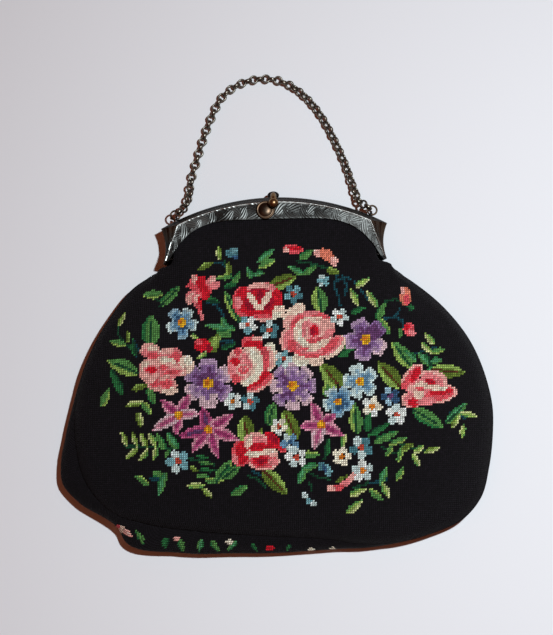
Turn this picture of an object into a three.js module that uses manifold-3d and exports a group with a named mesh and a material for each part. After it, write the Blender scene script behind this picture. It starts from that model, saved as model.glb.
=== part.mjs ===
// A needlework purse on an arched metal frame, lying on its back with its chain handle laid out behind it.
// Millimetres: X runs across the purse, Y from the bottom of the bag to the chain, Z up from the surface. While
// it is built, X = 0 is the middle of the frame, Y = 0 the level of its corners and Z = 0 the surface.
import * as THREE from "three";
import { mergeVertices } from "three/addons/utils/BufferGeometryUtils.js";
import Module from "manifold-3d";

const wasm = await Module();
wasm.setup();

// Driving dimensions of the cloth bag
const BAG_WIDTH = 202;
const BAG_DROP = 153.7;
const BAG_DEPTH = 27;
const CLOTH = 1.6;
const SEAM_GAP = 0.3;

// Driving dimensions of the metal frame, whose two halves are shallow dishes that meet rim to rim
const FRAME_WIDTH = 107.4;
const FRAME_RISE = 13.9;
const FRAME_DROP = 17;
const HALF_DEPTH = 8;
const FRAME_LIFT = 11;
const METAL = 1;
const RIM_SLOPE = 3.5;
const SIDE_SLOPE = 8.1;
const TIP_SLOPE = 2.2;
const TIP_WIDTH = 1.2;
const TIP_EDGE = 0.6;
const SIDE_WAIST = 2;
const WAIST_SHARE = 0.45;
const LOWER_CURVE = 5;
const CORNER_SHARE = 0.86;
const FACE_HEIGHT = 8.5;
const FLUTE_DEPTH = 0.45;
const TUCK = 2.4;
const CLOTH_CLEARANCE = 0.9;
const RELIEF = 0.35;

// Driving dimensions of the small metal parts
const FIT = 0.3;
const PIN_RADIUS = 0.8;
const PIN_HEAD = 1.5;
const LUG_RADIUS = 2.3;
const LUG_THICKNESS = 1;
const LUG_INSET = 0.4;
const POST_RADIUS = 0.7;
const RIVET_RADIUS = 1.5;
const RIVET_HEIGHT = 0.8;
const BALL_RADIUS = 2.35;
const BALL_SEAT = 0.55;
const KNOB_WIDTH = 5.6;
const KNOB_HEIGHT = 3.8;
const KNOB_SEAT = 0.4;
const BOSS_RADIUS = 4.4;
const BOSS_OFFSET = 3.8;
const BOSS_DOME = 1.3;
const BOSS_OVERHANG = 0.2;
const EAR_INWARD = 8.1;
const EAR_RADIUS = 1.35;
const EAR_INSET = 0.85;
const RING_RADIUS = 2.2;
const RING_WIRE = 0.9;

// Driving dimensions of the chain, whose round links stand and lie in turn. Each is a band, wider along its own
// axis than it is thick.
const LINK_PITCH = 3;
const LINK_WIRE = 0.75;
const LINK_BAND = 1.2;
const LINK_BITE = 0.24;
const LINK_SIDES = 10;
const WIRE_SIDES = 5;

// Where the chain was laid down, from its left end to its right end: x, y and how far its middle line is raised
// above that of a chain that lies flat
const CHAIN_ROUTE = [
  [-43.2, 10.0, 5.0],
  [-40.6, 15.6, 2.7],
  [-39.2, 25.0, 0.5],
  [-36.4, 34.5, 0],
  [-33.2, 44.5, 0],
  [-28.9, 55.6, 0],
  [-23.4, 65.8, 0],
  [-15.2, 71.9, 0],
  [-5.0, 74.4, 0],
  [5.0, 73.1, 0],
  [14.2, 67.4, -0.2],
  [22.8, 57.4, -0.35],
  [30.2, 43.2, -0.35],
  [35.2, 30.6, -0.35],
  [38.4, 20.0, 1.0],
  [41.2, 11.8, 3.8],
];

// How far the links have rolled over about the chain's line, in degrees, at shares of its length
const CHAIN_ROLL = [
  [0, 0],
  [0.04, 45],
  [0.08, 45],
  [0.15, 0],
  [0.5, 0],
  [0.6, 45],
  [0.95, 45],
  [1, 0],
];

// The side and bottom seam from the left end of the frame round to the right end. x is a share of half the
// bag's width and y of its drop. lift is the seam's height and swell the reach of the back panel beyond it, as
// shares of the bag's depth: at the lower left the back of the bag rolls forward past the seam.
const SEAM = [
  { x: -0.54, y: 0.129, lift: 0.43, swell: 0 },
  { x: -0.58, y: 0.139, lift: 0.41, swell: 0 },
  { x: -0.672, y: 0.187, lift: 0.37, swell: 0 },
  { x: -0.779, y: 0.273, lift: 0.34, swell: 0 },
  { x: -0.881, y: 0.39, lift: 0.34, swell: 0 },
  { x: -0.924, y: 0.475, lift: 0.35, swell: 0.06 },
  { x: -0.944, y: 0.56, lift: 0.38, swell: 0.13 },
  { x: -0.943, y: 0.638, lift: 0.43, swell: 0.26 },
  { x: -0.922, y: 0.723, lift: 0.48, swell: 0.42 },
  { x: -0.886, y: 0.785, lift: 0.51, swell: 0.43 },
  { x: -0.785, y: 0.86, lift: 0.52, swell: 0.17 },
  { x: -0.67, y: 0.894, lift: 0.52, swell: 0.47 },
  { x: -0.43, y: 0.925, lift: 0.5, swell: 0.48 },
  { x: -0.2, y: 0.942, lift: 0.48, swell: 0.36 },
  { x: 0.02, y: 0.953, lift: 0.45, swell: 0.29 },
  { x: 0.22, y: 0.963, lift: 0.41, swell: 0.21 },
  { x: 0.4, y: 0.98, lift: 0.37, swell: 0.1 },
  { x: 0.56, y: 0.975, lift: 0.34, swell: 0.02 },
  { x: 0.73, y: 0.943, lift: 0.33, swell: 0 },
  { x: 0.872, y: 0.894, lift: 0.33, swell: 0 },
  { x: 0.942, y: 0.815, lift: 0.33, swell: 0 },
  { x: 0.975, y: 0.706, lift: 0.33, swell: 0 },
  { x: 0.993, y: 0.612, lift: 0.33, swell: 0 },
  { x: 0.979, y: 0.524, lift: 0.33, swell: 0 },
  { x: 0.929, y: 0.41, lift: 0.33, swell: 0 },
  { x: 0.819, y: 0.292, lift: 0.34, swell: 0 },
  { x: 0.667, y: 0.199, lift: 0.37, swell: 0 },
  { x: 0.58, y: 0.147, lift: 0.41, swell: 0 },
  { x: 0.54, y: 0.131, lift: 0.43, swell: 0 },
];
const SEAM_STATIONS = 31;
const MOUTH_STATIONS = 11;
const MOUTH_BUNCHING = 0.7;
const BAG_MIDDLE = 0.53;

// How full the front panel is: it rises from the seam and from the frame as (1 - share ** shape) ** steepness
const SEAM_DOME = { shape: 2.6, steepness: 0.6 };
const MOUTH_DOME = { shape: 2, steepness: 1.3 };

// Rings of the front panel, as shares of the way from its middle to its edge
const FRONT_RINGS = [0.34, 0.62, 0.79, 0.9, 0.965, 1];

// The back panel's section from its edge inwards. inward is a share of the way to the middle, out a share of
// the swell, seam and mouth the height left at the seam and at the frame, as shares of the edge's height.
const BACK_SECTION = [
  { inward: 0, out: 0, seam: 1, mouth: 1 },
  { inward: 0.004, out: 0.62, seam: 0.82, mouth: 1 },
  { inward: 0.012, out: 1, seam: 0.52, mouth: 1 },
  { inward: 0.03, out: 0.92, seam: 0.22, mouth: 0.99 },
  { inward: 0.065, out: 0.5, seam: 0.04, mouth: 0.9 },
  { inward: 0.14, out: 0, seam: 0, mouth: 0.55 },
  { inward: 0.27, out: 0, seam: 0, mouth: 0 },
];

// Leaves in relief on one side of the frame's face. along is a share of the way from the middle of the face to
// its corner, across a share of its height, turn the direction of the tip in degrees. length and width are
// shares of the face's height.
const LEAVES = [
  { along: 0.42, across: 0.4, turn: 30, length: 0.78, width: 0.28 },
  { along: 0.55, across: 0.62, turn: -40, length: 0.74, width: 0.28 },
  { along: 0.67, across: 0.44, turn: 12, length: 0.82, width: 0.3 },
  { along: 0.79, across: 0.6, turn: -58, length: 0.8, width: 0.3 },
  { along: 0.9, across: 0.42, turn: -38, length: 0.84, width: 0.3 },
  { along: 1.0, across: 0.5, turn: -78, length: 0.7, width: 0.26 },
];

const halfWidth = FRAME_WIDTH / 2;
const archRadius = (halfWidth ** 2 + FRAME_RISE ** 2) / (2 * FRAME_RISE);
const faceTop = FRAME_LIFT + HALF_DEPTH;
const faceHalf = halfWidth - SIDE_SLOPE;
const faceMiddle = FRAME_RISE - RIM_SLOPE - FACE_HEIGHT;
const earX = halfWidth - EAR_INWARD;
const tipFaceX = halfWidth - TIP_SLOPE - TIP_EDGE;
const tipLowerX = tipFaceX - TIP_WIDTH;
const cornerLowerX = tipLowerX * CORNER_SHARE;

function closedMeshGeometry(points, faces) {
  const geometry = new THREE.BufferGeometry();
  geometry.setAttribute("position", new THREE.Float32BufferAttribute(points.flatMap((p) => p.toArray()), 3));
  let volume = 0;
  for (const [a, b, c] of faces) {
    volume += points[a].dot(new THREE.Vector3().crossVectors(points[b], points[c]));
  }
  geometry.setIndex(volume < 0 ? faces.flatMap(([a, b, c]) => [a, c, b]) : faces.flat());
  return geometry;
}

function toSolid(geometry) {
  const bare = geometry.clone();
  bare.deleteAttribute("normal");
  bare.deleteAttribute("uv");
  const merged = mergeVertices(bare, 1e-4);
  return new wasm.Manifold(
    new wasm.Mesh({
      numProp: 3,
      vertProperties: new Float32Array(merged.attributes.position.array),
      triVerts: new Uint32Array(merged.index.array),
    }),
  );
}

function toGeometry(solid) {
  const mesh = solid.getMesh();
  const geometry = new THREE.BufferGeometry();
  geometry.setAttribute("position", new THREE.BufferAttribute(new Float32Array(mesh.vertProperties), 3));
  geometry.setIndex(new THREE.BufferAttribute(new Uint32Array(mesh.triVerts), 1));
  return geometry;
}

function mirrored(solid) {
  // The back half of the frame repeats the front half on the other side of the plane where they meet
  const mesh = solid.getMesh();
  const points = [];
  for (let i = 0; i < mesh.vertProperties.length; i += 3) {
    const [x, y, z] = mesh.vertProperties.slice(i, i + 3);
    points.push(new THREE.Vector3(x, y, 2 * FRAME_LIFT - z));
  }
  const faces = [];
  for (let i = 0; i < mesh.triVerts.length; i += 3) {
    faces.push([...mesh.triVerts.slice(i, i + 3)]);
  }
  return toSolid(closedMeshGeometry(points, faces));
}

// Cylinder, or ring of wire, turned so that its own axis lies along the given direction
function along(geometry, direction, centre, ownAxis = new THREE.Vector3(0, 1, 0)) {
  const turn = new THREE.Quaternion().setFromUnitVectors(ownAxis, direction.clone().normalize());
  return geometry.applyMatrix4(new THREE.Matrix4().compose(centre, turn, new THREE.Vector3(1, 1, 1)));
}

function rod(radius, from, to, sides = 8) {
  const direction = to.clone().sub(from);
  const middle = from.clone().add(to).multiplyScalar(0.5);
  const cylinder = new THREE.CylinderGeometry(radius, radius, direction.length(), sides);
  return toSolid(along(cylinder, direction, middle));
}

// The frame's curves, all in plan
function archPoint(x, inset) {
  const radius = archRadius - inset;
  return new THREE.Vector2(x, FRAME_RISE - inset - (radius - Math.sqrt(radius ** 2 - x ** 2)));
}

function sidePoint(q) {
  const bow = (q - WAIST_SHARE) / (1 - WAIST_SHARE);
  return new THREE.Vector2(halfWidth - SIDE_WAIST * (1 - bow * bow), -FRAME_DROP * (1 - q));
}

function lowerEdge(x) {
  const drop = (faceMiddle + FRAME_DROP) * Math.abs(x / tipLowerX) ** LOWER_CURVE;
  return new THREE.Vector2(x, faceMiddle - drop);
}

// Direction in which the face's lower edge faces up and inwards, where the cloth is tucked behind it
function tuckDirection(x) {
  const steepness = (LOWER_CURVE * (faceMiddle + FRAME_DROP)) / tipLowerX;
  const slope = steepness * Math.sign(x) * Math.abs(x / tipLowerX) ** (LOWER_CURVE - 1);
  return new THREE.Vector2(slope, 1).normalize();
}

function flip(point, side) {
  return new THREE.Vector2(point.x * side, point.y);
}

// Stations of the frame from its left tip over the arch to its right tip
function frameStations() {
  const sideSteps = 4;
  const topSteps = 16;
  const corner = archPoint(faceHalf, RIM_SLOPE);
  const tip = new THREE.Vector2(tipFaceX, -FRAME_DROP);
  const stations = [];
  const addSide = (side, q) =>
    stations.push({
      rim: flip(sidePoint(q), side),
      face: flip(tip.clone().lerp(corner, q), side),
      lower: flip(lowerEdge(THREE.MathUtils.lerp(tipLowerX, cornerLowerX, q)), side),
      flute: q < 1 ? 1 : 0.5,
    });
  for (let i = 0; i <= sideSteps; i++) addSide(-1, i / sideSteps);
  for (let i = 1; i < topSteps; i++) {
    const share = (2 * i) / topSteps - 1;
    stations.push({
      rim: archPoint(share * halfWidth, 0),
      face: archPoint(share * faceHalf, RIM_SLOPE),
      lower: lowerEdge(share * cornerLowerX),
      flute: 0,
    });
  }
  for (let i = sideSteps; i >= 0; i--) addSide(1, i / sideSteps);
  return stations;
}

// One section of the front half: outer wall from rim to face with its flutes, face plate, and the inside
function frameSection({ rim, face, lower, flute }) {
  const low = FRAME_LIFT + SEAM_GAP / 2;
  const inwards = lower.clone().sub(rim).normalize();
  const outer = new THREE.Vector3(rim.x, rim.y, low);
  const edge = new THREE.Vector3(face.x, face.y, faceTop);
  const slope = edge.clone().sub(outer);
  const outwards = new THREE.Vector3(-inwards.x, -inwards.y, 0);
  outwards.addScaledVector(slope, -outwards.dot(slope) / slope.lengthSq()).normalize();
  const wall = [outer];
  const ridges = 4;
  for (let i = 1; i < ridges; i++) {
    const height = (i % 2 ? 0 : -FLUTE_DEPTH) * flute;
    wall.push(outer.clone().addScaledVector(slope, i / ridges).addScaledVector(outwards, height));
  }
  const innerRim = rim.clone().addScaledVector(inwards, METAL);
  const innerFace = face.clone().lerp(rim, METAL / HALF_DEPTH).addScaledVector(inwards, METAL);
  return [
    ...wall,
    edge,
    new THREE.Vector3(lower.x, lower.y, faceTop),
    new THREE.Vector3(lower.x, lower.y, faceTop - METAL),
    new THREE.Vector3(innerFace.x, innerFace.y, faceTop - METAL),
    new THREE.Vector3(innerRim.x, innerRim.y, low),
  ];
}

function loft(sections) {
  const count = sections[0].length;
  const points = sections.flat();
  const faces = [];
  for (let s = 0; s < sections.length - 1; s++) {
    for (let i = 0; i < count; i++) {
      const j = (i + 1) % count;
      const [a, b, c, d] = [s * count + i, s * count + j, (s + 1) * count + i, (s + 1) * count + j];
      faces.push([a, b, d], [a, d, c]);
    }
  }
  const capOf = (section, start, reverse) => {
    const origin = section[0];
    const across = section.at(-1).clone().sub(origin).setZ(0).normalize();
    const flat = section.map((p) => new THREE.Vector2(p.clone().sub(origin).dot(across), p.z));
    const turn = Math.sign(THREE.ShapeUtils.area(flat));
    for (const corners of THREE.ShapeUtils.triangulateShape(flat, [])) {
      const follows = THREE.ShapeUtils.area(corners.map((i) => flat[i])) * turn > 0;
      const [a, b, c] = corners.map((i) => start + i);
      faces.push(follows !== reverse ? [a, b, c] : [a, c, b]);
    }
  };
  capOf(sections[0], 0, true);
  capOf(sections.at(-1), (sections.length - 1) * count, false);
  return closedMeshGeometry(points, faces);
}

// A pointed leaf that stands proud of the face
function leaf({ along: share, across, turn, length, width }, side) {
  const top = archPoint(Math.min(share, 1) * faceHalf, RIM_SLOPE);
  const bottom = lowerEdge(Math.min(share, 1) * cornerLowerX);
  const middle = bottom.clone().lerp(top, across);
  const long = length * FACE_HEIGHT;
  const wide = width * FACE_HEIGHT;
  const shape = new THREE.Shape();
  shape.moveTo(-long / 2, 0);
  shape.quadraticCurveTo(-long / 6, -wide, long / 2, 0);
  shape.quadraticCurveTo(-long / 6, wide, -long / 2, 0);
  const depth = METAL / 2 + RELIEF;
  const geometry = new THREE.ExtrudeGeometry(shape, { depth, bevelEnabled: false, curveSegments: 2 });
  const angle = THREE.MathUtils.degToRad(side > 0 ? turn : 180 - turn);
  geometry.rotateZ(angle);
  geometry.translate(middle.x * side, middle.y, faceTop - METAL / 2);
  return toSolid(geometry);
}

function wireRing(radius, wire, centre, axis, sides = 10) {
  const ring = new THREE.TorusGeometry(radius, wire / 2, WIRE_SIDES, sides);
  return along(ring, axis, centre, new THREE.Vector3(0, 0, 1));
}

// Hinge at each tip: the front half's lug lies outside the back half's, and a headed pin passes through both
const hingeY = -FRAME_DROP + LUG_RADIUS + LUG_INSET;
const hingeShare = (FRAME_DROP + hingeY + LUG_RADIUS) / FRAME_DROP;
const hingeSideX = sidePoint(hingeShare).x;
const hingeLean = (hingeSideX - THREE.MathUtils.lerp(tipFaceX, faceHalf, hingeShare)) / HALF_DEPTH;
const frontLugX = hingeSideX - METAL - hingeLean * LUG_RADIUS - FIT - LUG_THICKNESS / 2;
const backLugX = frontLugX - LUG_THICKNESS - FIT;

function hingePoint(x, side) {
  return new THREE.Vector3(x * side, hingeY, FRAME_LIFT);
}

function block(minX, maxX, side, faceSide, minDepth, maxDepth) {
  const box = new THREE.BoxGeometry(maxX - minX, LUG_RADIUS * 1.6, maxDepth - minDepth);
  const height = FRAME_LIFT + (faceSide * (minDepth + maxDepth)) / 2;
  return toSolid(box.translate(((minX + maxX) / 2) * side, hingeY, height));
}

// An eyelet on a stem that stands off its own half's side wall, clear of the other half
function lug(x, side, faceSide) {
  const inner = x - LUG_THICKNESS / 2;
  const outer = x + LUG_THICKNESS / 2;
  const disc = rod(LUG_RADIUS, hingePoint(inner, side), hingePoint(outer, side), 10);
  const tongueStart = LUG_RADIUS + FIT;
  const tongueEnd = tongueStart + LUG_THICKNESS * 1.3;
  const wall = hingeSideX - METAL * 0.5 - hingeLean * tongueEnd;
  const stem = block(inner, outer, side, faceSide, LUG_RADIUS * 0.5, tongueEnd);
  return disc.add(stem).add(block(inner, wall, side, faceSide, tongueStart, tongueEnd));
}

function hingePin(side) {
  const inner = backLugX - LUG_THICKNESS / 2 - FIT;
  const outer = frontLugX + LUG_THICKNESS / 2 + FIT;
  const headed = rod(PIN_RADIUS, hingePoint(inner - METAL * 0.7, side), hingePoint(outer, side));
  const head = rod(PIN_HEAD, hingePoint(inner - METAL * 0.7, side), hingePoint(inner, side));
  return headed.add(head);
}

// Outward direction of the sloping top wall at the middle of the frame's front half
const wallNormal = new THREE.Vector3(0, HALF_DEPTH, RIM_SLOPE).normalize();

function wallPoint(depthShare, faceSide) {
  const height = FRAME_LIFT + faceSide * HALF_DEPTH * depthShare;
  return new THREE.Vector3(0, FRAME_RISE - RIM_SLOPE * depthShare, height);
}

const ballSeat = wallPoint(BALL_SEAT, 1);
const knobSeat = wallPoint(KNOB_SEAT, -1);
const knobNormal = new THREE.Vector3(0, wallNormal.y, -wallNormal.z);
const bossSeat = new THREE.Vector3(-BOSS_OFFSET, faceMiddle + BOSS_RADIUS - BOSS_OVERHANG, faceTop);

function postHole(seat, normal) {
  const reach = normal.clone().multiplyScalar(METAL * 3);
  return rod(POST_RADIUS + FIT, seat.clone().sub(reach), seat.clone().add(reach), 10);
}

// A turned stud from a profile of radius and height, standing on a seat with its rivet head inside
function stud(profile, seat, normal, sides = 8) {
  const shank = [
    [0, -METAL - FIT - RIVET_HEIGHT],
    [RIVET_RADIUS, -METAL - FIT - RIVET_HEIGHT],
    [RIVET_RADIUS, -METAL - FIT],
    [POST_RADIUS, -METAL - FIT],
    [POST_RADIUS, FIT],
  ];
  const points = [...shank, ...profile].map(([r, h]) => new THREE.Vector2(r, h));
  return toSolid(along(new THREE.LatheGeometry(points, sides), normal, seat));
}

function claspBall() {
  // The arm rises from the top wall and bends forward, so that the ball hangs before the face, clear of the
  // boss
  const ballHeight = faceTop + 2 * FIT + BOSS_DOME * 0.6 + BALL_RADIUS;
  const ball = new THREE.Vector3(0, FRAME_RISE - RIM_SLOPE - BALL_RADIUS * 0.7, ballHeight);
  const start = ballSeat.clone().addScaledVector(wallNormal, 3 * FIT);
  const rise = start.clone().addScaledVector(wallNormal, BALL_RADIUS);
  const bend = new THREE.Vector3(0, FRAME_RISE - RIM_SLOPE + BALL_RADIUS, ballHeight);
  const curve = new THREE.CubicBezierCurve3(start, rise, bend, ball);
  const section = new THREE.Shape().absarc(0, 0, BALL_RADIUS * 0.6, 0, Math.PI * 2);
  const arm = new THREE.ExtrudeGeometry(section, { extrudePath: curve, steps: 3, curveSegments: 4 });
  const post = stud([[RIVET_RADIUS, FIT], [RIVET_RADIUS, 4 * FIT], [0, 4 * FIT]], ballSeat, wallNormal);
  const head = new THREE.SphereGeometry(BALL_RADIUS, 10, 7).translate(ball.x, ball.y, ball.z);
  return post.add(toSolid(arm)).add(toSolid(head));
}

function claspKnob() {
  // A squat oval thumb knob on a turned post
  const neck = FRAME_RISE - knobSeat.y + FIT;
  const profile = [[RIVET_RADIUS, FIT], [RIVET_RADIUS * 0.7, neck + 1], [0, neck + 1]];
  const post = stud(profile, knobSeat, knobNormal);
  const head = new THREE.SphereGeometry(KNOB_HEIGHT / 2, 10, 6);
  head.scale(KNOB_WIDTH / KNOB_HEIGHT, 1, 1);
  const middle = knobSeat.clone().addScaledVector(knobNormal, neck + KNOB_HEIGHT / 2);
  return post.add(toSolid(head.translate(middle.x, middle.y, middle.z)));
}

function claspBoss() {
  const rim = BOSS_RADIUS;
  const profile = [
    [rim, FIT],
    [rim, FIT + BOSS_DOME * 0.4],
    [rim * 0.9, FIT + BOSS_DOME * 0.6],
    [rim * 0.8, FIT + BOSS_DOME * 0.45],
    [rim * 0.55, FIT + BOSS_DOME * 0.85],
    [0, FIT + BOSS_DOME],
  ];
  return stud(profile, bossSeat, new THREE.Vector3(0, 0, 1), 14);
}

// Ears that carry the chain stand on the back half's top wall, with their eyes across the frame
const earDepth = RING_WIRE / 2 + EAR_RADIUS + EAR_INSET;

function earCentre(side, above) {
  const rim = archPoint(earX, 0);
  const normal = new THREE.Vector2(earX, archRadius - FRAME_RISE + rim.y).normalize();
  rim.addScaledVector(normal, above);
  return new THREE.Vector3(rim.x * side, rim.y, FRAME_LIFT - earDepth);
}

function ear(side) {
  const base = earCentre(side, 0);
  const centre = earCentre(side, RING_WIRE);
  const axis = new THREE.Vector3(centre.y - base.y, base.x - centre.x, 0).normalize();
  return toSolid(wireRing(EAR_RADIUS, RING_WIRE, centre, axis)).add(
    rod(RING_WIRE * 0.6, earCentre(side, -RIM_SLOPE * 0.75), earCentre(side, RING_WIRE - EAR_RADIUS), 8),
  );
}

function jumpRingCentre(side) {
  return earCentre(side, RING_WIRE + RING_RADIUS);
}

function frameHalf(withLeaves) {
  let half = toSolid(loft(frameStations().map(frameSection)));
  const leaves = withLeaves ? LEAVES : [];
  for (const row of leaves) half = half.add(leaf(row, -1)).add(leaf(row, 1));
  return half;
}

function frontFrame() {
  let half = frameHalf(true);
  for (const side of [-1, 1]) half = half.add(lug(frontLugX, side, 1)).subtract(pinHole(side));
  return half
    .subtract(postHole(ballSeat, wallNormal))
    .subtract(postHole(bossSeat, new THREE.Vector3(0, 0, 1)));
}

function backFrame() {
  let half = mirrored(frameHalf(false));
  for (const side of [-1, 1]) half = half.add(lug(backLugX, side, -1)).add(ear(side)).subtract(pinHole(side));
  return half.subtract(postHole(knobSeat, knobNormal));
}

function pinHole(side) {
  const inner = hingePoint(backLugX - LUG_THICKNESS, side);
  const outer = hingePoint(frontLugX + LUG_THICKNESS / 2 + FIT / 2, side);
  return rod(PIN_RADIUS + FIT, inner, outer);
}

// Stations round the bag's edge: the seam from tip to tip, then the mouth that is sewn inside the frame.
// mouth runs from 0 at the seam to 1 inside the frame.
function bagStations() {
  const half = BAG_WIDTH / 2;
  const curve = new THREE.CatmullRomCurve3(
    SEAM.map((row) => new THREE.Vector3(row.x * half, -row.y * BAG_DROP, row.lift * BAG_DEPTH)),
    false,
    "centripetal",
  );
  const swells = new THREE.CatmullRomCurve3(
    SEAM.map((row) => new THREE.Vector3(row.x * half, -row.y * BAG_DROP, row.swell * BAG_DEPTH)),
    false,
    "centripetal",
  );
  const stations = [];
  for (let i = 0; i < SEAM_STATIONS; i++) {
    const share = i / (SEAM_STATIONS - 1);
    const point = curve.getPoint(share);
    const swell = Math.max(swells.getPoint(share).z, 0);
    const fromEnd = Math.min(i, SEAM_STATIONS - 1 - i);
    const mouth = Math.max(0, 0.5 - fromEnd / 4);
    stations.push({ x: point.x, y: point.y, lift: point.z, swell, mouth });
  }
  const endX = tipLowerX - CLOTH * 0.7;
  for (let i = 0; i < MOUTH_STATIONS; i++) {
    const turn = Math.PI * (i / (MOUTH_STATIONS - 1));
    const x = endX * Math.sign(Math.cos(turn)) * Math.abs(Math.cos(turn)) ** MOUTH_BUNCHING;
    const tucked = lowerEdge(x).addScaledVector(tuckDirection(x), TUCK * Math.sin(turn));
    if (i === 0 || i === MOUTH_STATIONS - 1) tucked.y = -FRAME_DROP - FIT * 2;
    stations.push({ x: tucked.x, y: tucked.y, lift: FRAME_LIFT, swell: 0, mouth: 1 });
  }
  return stations;
}

const bagMiddle = new THREE.Vector2(0, -BAG_MIDDLE * BAG_DROP);
const clothUnderFace = HALF_DEPTH - METAL - CLOTH_CLEARANCE;

function shell(outer, inner) {
  const points = [outer.middle, ...outer.rings.flat(), inner.middle, ...inner.rings.flat()];
  const count = outer.rings[0].length;
  const half = 1 + outer.rings.length * count;
  const faces = [];
  const at = (surface, ring, i) => surface * half + 1 + ring * count + (i % count);
  for (const surface of [0, 1]) {
    const add = (a, b, c) => faces.push(surface ? [a, c, b] : [a, b, c]);
    for (let i = 0; i < count; i++) {
      add(surface * half, at(surface, 0, i), at(surface, 0, i + 1));
      for (let r = 0; r < outer.rings.length - 1; r++) {
        add(at(surface, r, i), at(surface, r + 1, i), at(surface, r + 1, i + 1));
        add(at(surface, r, i), at(surface, r + 1, i + 1), at(surface, r, i + 1));
      }
    }
  }
  const last = outer.rings.length - 1;
  for (let i = 0; i < count; i++) {
    faces.push([at(0, last, i), at(1, last, i), at(1, last, i + 1)]);
    faces.push([at(0, last, i), at(1, last, i + 1), at(0, last, i + 1)]);
  }
  return closedMeshGeometry(points, faces);
}

// How far the cloth in this direction from the bag's middle is drawn flat by the frame: 1 straight up, 0 past
// the tips
function mouthPull(outwards) {
  const turn = Math.atan2(Math.abs(outwards.x), outwards.y);
  const tipTurn = Math.atan2(tipLowerX, BAG_MIDDLE * BAG_DROP - FRAME_DROP);
  return Math.cos((Math.min(turn / (2 * tipTurn), 1) * Math.PI) / 2) ** 2;
}

// Front panel: a soft dome that rises steeply from the seam and gently from under the frame's face
function frontSurface(inset) {
  const stations = bagStations();
  const rings = FRONT_RINGS.map((share) =>
    stations.map((s) => {
      const outwards = new THREE.Vector2(s.x, s.y).sub(bagMiddle).normalize();
      const edge = new THREE.Vector2(s.x, s.y).addScaledVector(outwards, -inset);
      const plan = bagMiddle.clone().lerp(edge, share);
      const seamRise = (1 - share ** SEAM_DOME.shape) ** SEAM_DOME.steepness;
      const mouthRise = (1 - share ** MOUTH_DOME.shape) ** MOUTH_DOME.steepness;
      const rise = THREE.MathUtils.lerp(seamRise, mouthRise, mouthPull(outwards));
      const foot = s.lift + SEAM_GAP / 2 + (clothUnderFace - SEAM_GAP / 2 - inset) * s.mouth;
      return new THREE.Vector3(plan.x, plan.y, foot + (BAG_DEPTH - inset - foot) * rise);
    }),
  );
  return { middle: new THREE.Vector3(bagMiddle.x, bagMiddle.y, BAG_DEPTH - inset), rings };
}

// Back panel: flat where it lies, rolled up to the seam all round and past it at the lower left
function backSurface(inset) {
  const stations = bagStations();
  const rings = BACK_SECTION.toReversed().map((row) =>
    stations.map((s) => {
      const outwards = new THREE.Vector2(s.x, s.y).sub(bagMiddle).normalize();
      const edge = new THREE.Vector2(s.x, s.y).addScaledVector(outwards, -inset);
      const plan = bagMiddle.clone().lerp(edge, 1 - row.inward).addScaledVector(outwards, row.out * s.swell);
      const top = s.lift - SEAM_GAP / 2 - (clothUnderFace - SEAM_GAP / 2 - inset) * s.mouth;
      const height = THREE.MathUtils.lerp(row.seam, row.mouth, s.mouth);
      return new THREE.Vector3(plan.x, plan.y, inset + (top - inset) * height);
    }),
  );
  return { middle: new THREE.Vector3(bagMiddle.x, bagMiddle.y, inset), rings };
}

// Chain of round links, standing and lying in turn, fused where each link bears on the next
function chainRoll(share) {
  const next = CHAIN_ROLL.findIndex(([place]) => place >= share && place > 0);
  const [[from, low], [to, high]] = CHAIN_ROLL.slice(next - 1, next + 1);
  return THREE.MathUtils.degToRad(THREE.MathUtils.mapLinear(share, from, to, low, high));
}

function chain() {
  const start = jumpRingCentre(-1);
  const end = jumpRingCentre(1);
  const lying = LINK_PITCH / 2 - LINK_BITE / 2 + LINK_WIRE;
  const route = CHAIN_ROUTE.map(([x, y, raise]) => new THREE.Vector3(x, y, lying + LINK_WIRE / 4 + raise));
  // The end links hang level on the jump rings
  const reachTo = (ring, next) =>
    ring.clone().add(next.clone().sub(ring).setZ(0).setLength(RING_RADIUS + FIT));
  const first = reachTo(start, route[0]);
  const last = reachTo(end, route.at(-1));
  const curve = new THREE.CatmullRomCurve3([first, ...route, last], false, "centripetal");
  curve.arcLengthDivisions = 2000;
  const steps = 2 * Math.round(curve.getLength() / LINK_PITCH / 2);
  const pitch = curve.getLength() / steps;
  const radius = ((pitch - LINK_BITE) / 2 + LINK_WIRE / 2) / Math.cos(Math.PI / LINK_SIDES);
  let links;
  for (let i = 0; i <= steps; i++) {
    const centre = curve.getPointAt(i / steps);
    const tangent = curve.getTangentAt(i / steps);
    const level = new THREE.Vector3().crossVectors(new THREE.Vector3(0, 0, 1), tangent).normalize();
    const upright = new THREE.Vector3().crossVectors(tangent, level);
    const axis = (i % 2 ? upright : level).applyAxisAngle(tangent, chainRoll(i / steps));
    const across = new THREE.Vector3().crossVectors(axis, tangent);
    const ring = new THREE.TorusGeometry(radius, LINK_WIRE / 2, WIRE_SIDES, LINK_SIDES);
    ring.rotateZ(Math.PI / LINK_SIDES).scale(1, 1, LINK_BAND / LINK_WIRE);
    ring.applyMatrix4(new THREE.Matrix4().makeBasis(tangent, across, axis).setPosition(centre));
    const link = toSolid(ring);
    links = links ? links.add(link) : link;
  }
  return links;
}

function material(color, roughness, metalness) {
  return new THREE.MeshStandardMaterial({ color, roughness, metalness });
}

const purse = new THREE.Group();

function addPiece(name, geometry, finish) {
  const mesh = new THREE.Mesh(geometry, finish);
  mesh.name = name;
  purse.add(mesh);
}

const needlework = material(0x17151c, 0.95, 0);
const oldSilver = material(0x6f6d66, 0.38, 1);
const wornBrass = material(0x9a7347, 0.32, 1);

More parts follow.
